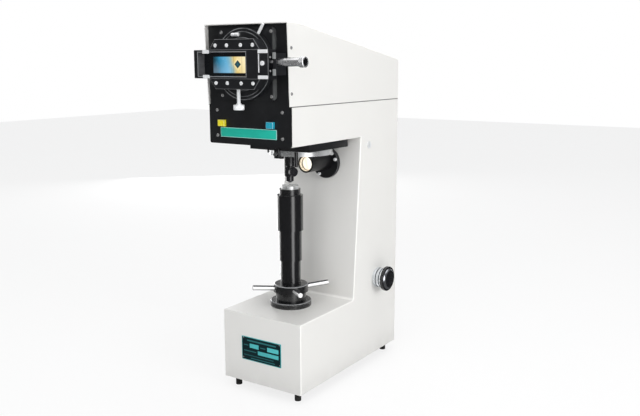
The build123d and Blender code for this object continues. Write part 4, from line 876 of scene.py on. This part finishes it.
class TESTER_OT_elevating_screw(bpy.types.Operator):
    """Finishes the flange, capstan, sleeves and anvil"""

    bl_idname = "tester.elevating_screw"
    bl_label = "Elevating screw"

    def execute(self, context):
        blued = blued_finish("sleeve_blued", (0.008, 0.008, 0.009), TEST_AXIS, 0.15)
        dress(("dust_sleeve_inner", "dust_sleeve_middle", "dust_sleeve_outer"), blued)
        hub = blued_finish("hub_blued", (0.009, 0.009, 0.010), TEST_AXIS, 0.24, 0.55)
        dress(("base_flange", "capstan_hub", "anvil_seat"), hub)
        dress(("capstan_spokes",), rod_finish("spoke_chrome"))
        dress(("anvil",), turned_finish("anvil_steel", (0.84, 0.85, 0.85), TEST_AXIS, 0.26, 0.6))
        dress(("elevating_screw",), turned_finish("screw_steel", (0.60, 0.60, 0.61), TEST_AXIS, 0.30, 1.0))
        return {"FINISHED"}


class TESTER_OT_selector(bpy.types.Operator):
    """Makes the load selector's stepped dial and its scalloped knob, and finishes its shaft"""

    bl_idname = "tester.selector"
    bl_label = "Load selector"

    def execute(self, context):
        dress(("selector_shaft",), drawn_finish("shaft_steel", (0.60, 0.60, 0.61), 0))
        low, high = node_box("selector_dial")
        axis_point = (0.0, *(low + high)[1:] / 2.0)
        radius = (high[2] - low[2]) / 2.0
        steps = ((0.0, -1.0), (0.8, 0.0), (8.5, 0.0), (9.0, -1.6), (11.0, -1.6), (11.5, -0.4))
        steps += ((18.0, -0.4), (18.5, -2.4), (20.5, -2.4), (21.0, -1.2), (27.0, -1.2))
        rows = [(min(low[0] + x * MM, high[0]), radius + rise * MM) for x, rise in steps]
        bore = 10.0 * MM
        rows = [(low[0], bore)] + rows + [(rows[-1][0], bore), (low[0], bore)]
        dial = turned_part(axis_point, X_AXIS, rows, 96)
        silver = dial_finish("dial_aluminium", (0.86, 0.89, 0.94), axis_point, low[0], radius)
        mesh_piece("selector_dial_stepped", [dial], silver, "housing", "selector_dial")

        low, high = node_box("selector_knob") / np.array(MM)
        radius = (high[2] - low[2]) / 2.0
        shoulder = high[0] - 4.8
        rows = [(low[0], 0.0), (low[0], radius - 2.0), (low[0] + 1.5, radius), (shoulder - 1.4, radius)]
        rows += [(shoulder - 0.2, radius - 1.2), (shoulder, radius - 2.4), (shoulder, radius - 5.6)]
        rows += [(high[0] - 0.2, radius - 10.2), (high[0], radius - 10.8), (high[0], 0.0)]

        def scallops(distance, bearing):
            """Twelve hollows: minus 2.2 mm times cos(12 a)^6 where the cosine is positive, up to the shoulder."""
            return -2.2 * MM * np.clip(np.cos(12.0 * bearing), 0.0, 1.0) ** 6 * (distance < (shoulder - 0.1) * MM)

        knob = turned_part(axis_point, X_AXIS, np.array(rows) * MM, 240, scallops)
        ring = (radius - 10.4) * MM, (radius - 5.4) * MM
        black = phenolic_finish("knob_phenolic", (0.007, 0.007, 0.009), axis_point, *ring)
        mesh_piece("selector_knob_scalloped", [knob], black, "load_selector", "selector_knob")
        return {"FINISHED"}


class TESTER_OT_mechanism(bpy.types.Operator):
    """Finishes the loading mechanism and the optics inside the housing"""

    bl_idname = "tester.mechanism"
    bl_label = "Inner mechanism"

    def execute(self, context):
        dress(("loading_lever", "load_pin", "weight_hanger"), drawn_finish("lever_steel", (0.56, 0.56, 0.57), 1))
        dress(("lever_bracket", "load_weights"), cast_finish("weight_iron", (0.075, 0.075, 0.08)))
        dress(("lifting_cam", "dashpot_rod"), drawn_finish("cam_steel", (0.62, 0.62, 0.63), 2, 0.22))
        dress(("drive_motor",), anodised_finish("motor_black", (0.03, 0.03, 0.032)))
        dress(("dashpot_cylinder", "mirror_post"), drawn_finish("cylinder_aluminium", (0.72, 0.73, 0.74), 2, 0.3))
        dress(("transformer",), cast_finish("transformer_laminate", (0.11, 0.08, 0.06), 0.4))
        dress(("projection_mirror",), mirror_finish("mirror_silver"))
        return {"FINISHED"}


class TESTER_OT_strip(bpy.types.Operator):
    """Makes the bare teal strip on the front panel"""

    bl_idname = "tester.strip"
    bl_label = "Panel strip"

    def execute(self, context):
        size = context.scene.tester_sizes
        teal = ("strip_teal", context.scene.tester_colours.strip, (0.45, 0.80, 0.74))
        bare_plate("panel_strip", STRIP_CENTRE, size.strip_width, size.strip_height, 1.5 * MM, *teal, 1.1 * MM)
        return {"FINISHED"}


class TESTER_OT_base_plate(bpy.types.Operator):
    """Makes the bare dark plate on the base's front, with its blank fields and four rivets"""

    bl_idname = "tester.base_plate"
    bl_label = "Base plate"

    def execute(self, context):
        size = context.scene.tester_sizes
        colours = context.scene.tester_colours
        printed = (
            (-37.5, 122.5, -8.0, 134.0, 1.0),
            (19.5, 122.5, 56.0, 134.0, 1.0),
            (-11.0, 107.5, 56.0, 118.0, 0.9),
            (-46.0, 139.6, 48.0, 143.4, 0.30),
            (-57.0, 127.0, -42.0, 129.4, 0.32),
            (-3.0, 127.0, 14.0, 129.4, 0.32),
            (-57.0, 111.6, -16.0, 114.0, 0.32),
            (-57.0, 100.2, 40.0, 102.2, 0.26),
            (-34.0, 92.8, 44.0, 95.2, 0.30),
        )
        fields = [tuple(edge * MM for edge in field[:4]) + field[4:] for field in printed]
        teal = ("base_plate_teal", colours.plate, colours.plate_line, 1.5 * MM, fields)
        bare_plate("base_name_plate", PLATE_CENTRE, size.plate_width, size.plate_height, 2.0 * MM, *teal)
        across, up = size.plate_width / 2.0 - 5.0 * MM, size.plate_height / 2.0 - 5.0 * MM
        bearing = np.linspace(0.0, math.pi / 2.0, 7)
        dome = np.stack((0.9 * MM * np.sin(bearing), size.rivet_radius * np.cos(bearing)), axis=1)
        dome[-1, 1] = 0.0
        dome = np.concatenate((((0.0, 0.0),), dome))
        rivets = []
        for place in ((-across, -up), (-across, up), (across, -up), (across, up)):
            seat = np.array(PLATE_CENTRE) + (place[0], -size.plate_thickness, place[1])
            rivets.append(turned_part(seat, -Y_AXIS, dome, 24))
        mesh_piece("plate_rivets", rivets, chrome_finish("rivet_metal"), "housing")
        return {"FINISHED"}


class TESTER_OT_screws(bpy.types.Operator):
    """Makes the slotted screw heads of the rails, panel, bezel, covers and lamp house"""

    bl_idname = "tester.screws"
    bl_label = "Screw heads"

    def execute(self, context):
        slot_width = context.scene.tester_sizes.slot_width
        bright = satin_finish("screw_satin", (0.93, 0.94, 0.95), 0.22)
        nickel = satin_finish("fixing_nickel", (0.50, 0.50, 0.50), 0.22, 0.6)
        for node, name, body, material in (
            ("rail_screws", "rail_screw_heads", "screen", bright),
            ("fixing_screws", "fixing_screw_heads", "housing", nickel),
        ):
            parts, lamp_parts = [], []
            for number, (seat, axis, radius, height) in enumerate(screw_places(node)):
                head = slotted_head(seat, axis, radius, height, slot_width, 0.7 + SLOT_TURN * number)
                on_lamp = np.all((LAMP_BOX[0] < seat)[[0, 2]]) and np.all((seat < LAMP_BOX[1])[[0, 2]])
                (lamp_parts if on_lamp else parts).extend(head)
            mesh_piece(name, parts, material, body, node)
            if lamp_parts:
                mesh_piece("lamp_centring_heads", lamp_parts, bright, body)
        return {"FINISHED"}


def screw_places(node):
    """Seat, direction, radius and height of every head in a group node, from its separate shells: a head faces
    along the axis in which its shell is thinnest, and it points out of the housing."""
    shell = bmesh.new()
    shell.from_mesh(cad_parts[node].data)
    bmesh.ops.remove_doubles(shell, verts=shell.verts, dist=MERGE_DISTANCE)
    left = set(shell.verts)
    places = []
    while left:
        first = left.pop()
        group, edge = {first}, [first]
        while edge:
            for link in edge.pop().link_edges:
                for vertex in left.intersection(link.verts):
                    left.discard(vertex)
                    group.add(vertex)
                    edge.append(vertex)
        corners = np.array([tuple(vertex.co) for vertex in group])
        low, high = corners.min(axis=0), corners.max(axis=0)
        thin = int(np.argmin(high - low))
        middle = (low + high) / 2.0
        out = 1.0 if (thin == 0 and middle[0] > 0) or (thin == 1 and middle[1] > REAR_SIDE) else -1.0
        axis = np.zeros(3)
        axis[thin] = out
        seat = middle.copy()
        seat[thin] = low[thin] if out > 0 else high[thin]
        radius = np.delete(high - low, thin).max() / 2.0
        places.append((seat, axis, radius, (high - low)[thin]))
    shell.free()
    return sorted(places, key=lambda place: tuple(np.round(place[0], 5)))


class TESTER_OT_thimble(bpy.types.Operator):
    """Makes the micrometer's tapered sleeve and its thimble, which flares to a knurled end ring"""

    bl_idname = "tester.thimble"
    bl_label = "Micrometer thimble"

    def execute(self, context):
        sizes = context.scene.tester_sizes
        low, high = node_box("micrometer_thimble") / np.array(MM)
        axis_point = (0.0, *(low + high)[1:] * MM / 2.0)
        reach, radius = high[0], (high[2] - low[2]) / 2.0
        ring, stem, start = reach - 14.0, 3.5, 146.0
        knurled = np.linspace(ring + 1.5, reach - 2.0, 20)
        rows = [(low[0], 0.0), (low[0], stem), (start - 0.2, stem), (start, 9.3), (start + 4.0, 9.7)]
        rows += [(start + 5.0, 10.1), (ring - 8.0, 10.4), (ring - 0.8, 11.0), (ring, radius - 0.6)]
        rows += [(ring + 0.8, radius)] + [(distance, radius) for distance in knurled]
        rows += [(reach - 0.8, radius - 0.2), (reach, radius - 1.2), (reach, 9.0), (reach - 3.0, 8.2)]
        rows += [(reach - 3.0, 3.4), (reach - 1.0, 3.0), (reach - 1.0, 0.0)]
        ridges = knurl(sizes.knurl_count, sizes.knurl_depth, knurled[0] * MM, knurled[-1] * MM, 2.0 * MM)
        thimble = turned_part(axis_point, X_AXIS, np.array(rows) * MM, sizes.knurl_count * RIDGE_STEPS, ridges)
        steel = cupped_finish("thimble_steel", (0.90, 0.90, 0.91), axis_point, (reach - 3.5) * MM, 8.7 * MM)
        mesh_piece("micrometer_thimble_knurled", [thimble], steel, "thimble", "micrometer_thimble")
        low, high = node_box("micrometer_sleeve") / np.array(MM)
        bore = stem + 0.4
        taper = [(low[0], bore), (low[0], 4.6), (131.0, 5.6), (132.0, 7.4), (140.0, 8.6), (141.0, 9.0)]
        taper += [(high[0], 9.0), (high[0], bore), (low[0], bore)]
        sleeve = turned_part(axis_point, X_AXIS, np.array(taper) * MM, 72)
        satin = satin_finish("sleeve_satin", (0.90, 0.90, 0.91), 0.22, 0.8)
        mesh_piece("micrometer_sleeve_tapered", [sleeve], satin, "screen", "micrometer_sleeve")
        return {"FINISHED"}


class TESTER_OT_screen_fittings(bpy.types.Operator):
    """Makes the slide's bright clamp strip and screws, the bracket's two grey keeps and the ring's stop pin"""

    bl_idname = "tester.screen_fittings"
    bl_label = "Screen fittings"

    def execute(self, context):
        slot_width = context.scene.tester_sizes.slot_width
        bright = satin_finish("fitting_satin", (0.93, 0.94, 0.95), 0.20)
        (_, slide_face, _), (slide_end, _, _) = node_box("slide_frame")
        strip_place = (75.5 * MM, slide_face, 854.5 * MM)
        clamp = [slab(strip_place, 2.4 * MM, 43.0 * MM, 1.5 * MM, 0.9 * MM, 0.3 * MM)]
        clamp += slotted_head((86.6 * MM, slide_face, 854.4 * MM), -Y_AXIS, 5.4 * MM, 5.5 * MM, slot_width, 0.4)
        for z in (868.0, 837.2):
            clamp += slotted_head((slide_end, -326.4 * MM, z * MM), X_AXIS, 2.3 * MM, 0.9 * MM, 0.5 * MM, 0.7)
        mesh_piece("slide_clamp", clamp, bright, "screen_slide")
        bracket_face = node_box("micrometer_bracket")[0][1]
        keeps = [
            slab((120.0 * MM, bracket_face, z * MM), 7.6 * MM, 14.5 * MM, 2.5 * MM, 1.2 * MM, 0.5 * MM)
            for z in (871.2, 834.2)
        ]
        mesh_piece("bracket_keeps", keeps, satin_finish("keep_grey", (0.30, 0.31, 0.31), 0.34), "screen")
        pin_start = (-27.0 * MM, node_box("screen_ring")[0][1] - 3.4 * MM, 920.5 * MM)
        rows = [(0.0, 0.0), (0.0, 3.4), (0.8, 4.4), (7.0, 4.4), (7.4, 3.0), (9.6, 3.0), (10.0, 4.4)]
        rows += [(20.2, 4.4), (21.0, 3.4), (21.0, 0.0)]
        pin = turned_part(pin_start, X_AXIS, np.array(rows) * MM, 40)
        mesh_piece("ring_stop_pin", [pin], bright, "screen")
        return {"FINISHED"}


class TESTER_OT_zero_screw(bpy.types.Operator):
    """Makes the screen's zero screw with its threaded stem and knurled cap"""

    bl_idname = "tester.zero_screw"
    bl_label = "Zero screw"

    def execute(self, context):
        low, high = node_box("zero_screw")
        centre = (low + high) / 2.0
        top, radius = (high[2] - low[2]) / MM, (high[0] - low[0]) / 2.0 / MM
        cap, stem, ridge_count = 13.0, 4.5, 44
        knurled = np.linspace(2.0, cap - 1.6, 10)
        rows = [(0.0, 0.0), (0.0, radius - 2.0), (0.5, radius - 0.8), (1.2, radius)]
        rows += [(distance, radius) for distance in knurled]
        rows += [(cap - 0.8, radius), (cap - 0.2, radius - 0.8), (cap, radius - 2.2), (cap, 6.6)]
        rows += [(cap + 2.5, 6.2), (cap + 2.7, stem)]
        turns = np.arange(cap + 3.0, top - 0.3, 0.35)
        rows += [(distance, stem - 0.18 * (1 + (-1) ** step)) for step, distance in enumerate(turns)]
        rows += [(top, stem - 0.5), (top, 0.0)]
        depth = context.scene.tester_sizes.knurl_depth * 1.4
        ridges = knurl(ridge_count, depth, knurled[0] * MM, knurled[-1] * MM)
        foot = (centre[0], centre[1], low[2])
        screw = turned_part(foot, Z_AXIS, np.array(rows) * MM, ridge_count * 6, ridges)
        mesh_piece(
            "zero_screw_knurled", [screw], satin_finish("zero_screw_satin"), "zero_adjuster", "zero_screw"
        )
        return {"FINISHED"}


class TESTER_OT_stage(bpy.types.Operator):
    """Sets the plain pale floor, the soft lamps, the world and the camera"""

    bl_idname = "tester.stage"
    bl_label = "Studio"

    def execute(self, context):
        scene = context.scene
        corners = [(x * FLOOR_HALF, y * FLOOR_HALF, -FLOOR_DROP) for x, y in ((-1, -1), (1, -1), (1, 1), (-1, 1))]
        mesh = bpy.data.meshes.new("studio_floor")
        mesh.from_pydata(corners, [], [(0, 1, 2, 3)])
        mesh.materials.append(floor_material())
        floor = bpy.data.objects.new("studio_floor", mesh)
        scene.collection.objects.link(floor)
        set_world(scene)
        for name, place, aim_height, size, watts in LAMPS:
            add_lamp(scene, name, place, (0.0, 0.0, aim_height), size, watts)
        add_camera(scene)
        scene.view_settings.view_transform = "Standard"
        return {"FINISHED"}


def studio_glow(east, north, level):
    """How bright a reflection finds the studio in a direction: a dim room with tall soft boxes round the tester,
    whose light fades above and below the horizon."""
    glow = 0.0
    for bearing, core, edge, share in STUDIO_BOXES:
        ahead = east * math.cos(math.radians(bearing)) + north * math.sin(math.radians(bearing))
        aside = north * math.cos(math.radians(bearing)) - east * math.sin(math.radians(bearing))
        light = 1.0 - abs(aside.bearing(ahead)).fade(math.radians(core), math.radians(edge))
        glow = light * (share * STUDIO_BOX) + glow
    return glow * level + STUDIO_DIM


def floor_material():
    """A pale floor with the object's soft shadow on it, which reflections see as a dim floor with the light of
    the soft boxes along it."""
    floor = Finish("floor_pale")
    floor.made(floor.mix(floor.noise(3.0, 3.0), (0.90, 0.90, 0.90), (0.93, 0.93, 0.93)), 0.85)
    east, north, _ = floor.axes()
    glow = studio_glow(east, north, east.hypot(north).fade(0.5, 1.3))
    seen = floor.node("ShaderNodeEmission", None, {"Strength": glow})
    camera_ray, glossy_ray = floor.rays("Is Camera Ray", "Is Glossy Ray")
    floor.stack(floor.shader, ((camera_ray * 0.80, floor.node("ShaderNodeEmission")), (glossy_ray, seen)))
    return floor.material


def set_world(scene):
    """White where the camera looks past the object, the dim studio in reflections, and a soft fill for its light."""
    scene.world = bpy.data.worlds.new("studio_world")
    scene.world.use_nodes = True
    sky = Graph(scene.world.node_tree, "ShaderNodeOutputWorld")
    east, north, up = sky.split(sky.node("ShaderNodeTexCoord", output=0))
    level = up.band(0.05, 0.35, 0.60)
    overhead = up.fade(0.45, 0.80) * 1.3
    fill, studio, white = (
        sky.node("ShaderNodeBackground", None, {"Color": shade, "Strength": strength})
        for shade, strength in (
            ((0.96, 0.98, 1.0), 0.40),
            ((1.0, 1.0, 1.0), studio_glow(east, north, level) + overhead),
            ((1.0, 1.0, 1.0), 1.0),
        )
    )
    rays = sky.rays("Is Glossy Ray", "Is Camera Ray", "Is Transmission Ray")
    sky.stack(fill, zip(rays, (studio, white, white)))


def add_lamp(scene, name, place, aim, size, watts):
    """A square soft lamp that looks at a point and isn't seen in reflections."""
    data = bpy.data.lights.new(name, "AREA")
    data.shape = "SQUARE"
    data.size = size
    data.energy = watts
    lamp = bpy.data.objects.new(name, data)
    lamp.location = place
    lamp.rotation_euler = (Vector(aim) - Vector(place)).to_track_quat("-Z", "Y").to_euler()
    lamp.visible_glossy = False
    scene.collection.objects.link(lamp)


def add_camera(scene):
    """The camera stands to the front right of the tester, a little above its middle."""
    data = bpy.data.cameras.new("front_right_camera")
    data.sensor_width = CAMERA_SENSOR
    data.lens = CAMERA_LENS
    camera = bpy.data.objects.new("front_right_camera", data)
    camera.location = CAMERA_PLACE
    camera.rotation_euler = (math.radians(CAMERA_TILT), math.radians(CAMERA_ROLL), math.radians(CAMERA_BEARING))
    scene.collection.objects.link(camera)
    scene.camera = camera


class TESTER_PT_panel(bpy.types.Panel):
    """Lists the tester's sizes, colours and pieces"""

    bl_label = "Hardness tester"
    bl_idname = "TESTER_PT_panel"
    bl_space_type = "VIEW_3D"
    bl_region_type = "UI"
    bl_category = "Tester"

    def draw(self, context):
        for group in (context.scene.tester_sizes, context.scene.tester_colours):
            for name in group.__annotations__:
                self.layout.prop(group, name)
        for operator in OPERATORS:
            self.layout.operator(operator.bl_idname)


OPERATORS = (
    TESTER_OT_housing,
    TESTER_OT_panel,
    TESTER_OT_screen,
    TESTER_OT_turret,
    TESTER_OT_lamp,
    TESTER_OT_elevating_screw,
    TESTER_OT_selector,
    TESTER_OT_mechanism,
    TESTER_OT_strip,
    TESTER_OT_base_plate,
    TESTER_OT_screws,
    TESTER_OT_thimble,
    TESTER_OT_screen_fittings,
    TESTER_OT_zero_screw,
    TESTER_OT_stage,
)
CLASSES = (TesterColours, TesterSizes) + OPERATORS + (TESTER_PT_panel,)


def register():
    """Registers the classes and hangs the settings on the scene."""
    for made in CLASSES:
        bpy.utils.register_class(made)
    bpy.types.Scene.tester_colours = PointerProperty(type=TesterColours)
    bpy.types.Scene.tester_sizes = PointerProperty(type=TesterSizes)


def unregister():
    """Takes the settings off the scene and the classes out again."""
    del bpy.types.Scene.tester_sizes
    del bpy.types.Scene.tester_colours
    for made in reversed(CLASSES):
        bpy.utils.unregister_class(made)


def main():
    """Registers the add-on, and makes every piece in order."""
    register()
    for operator in OPERATORS:
        group, name = operator.bl_idname.split(".")
        getattr(getattr(bpy.ops, group), name)()


if __name__ == "__main__":
    main()
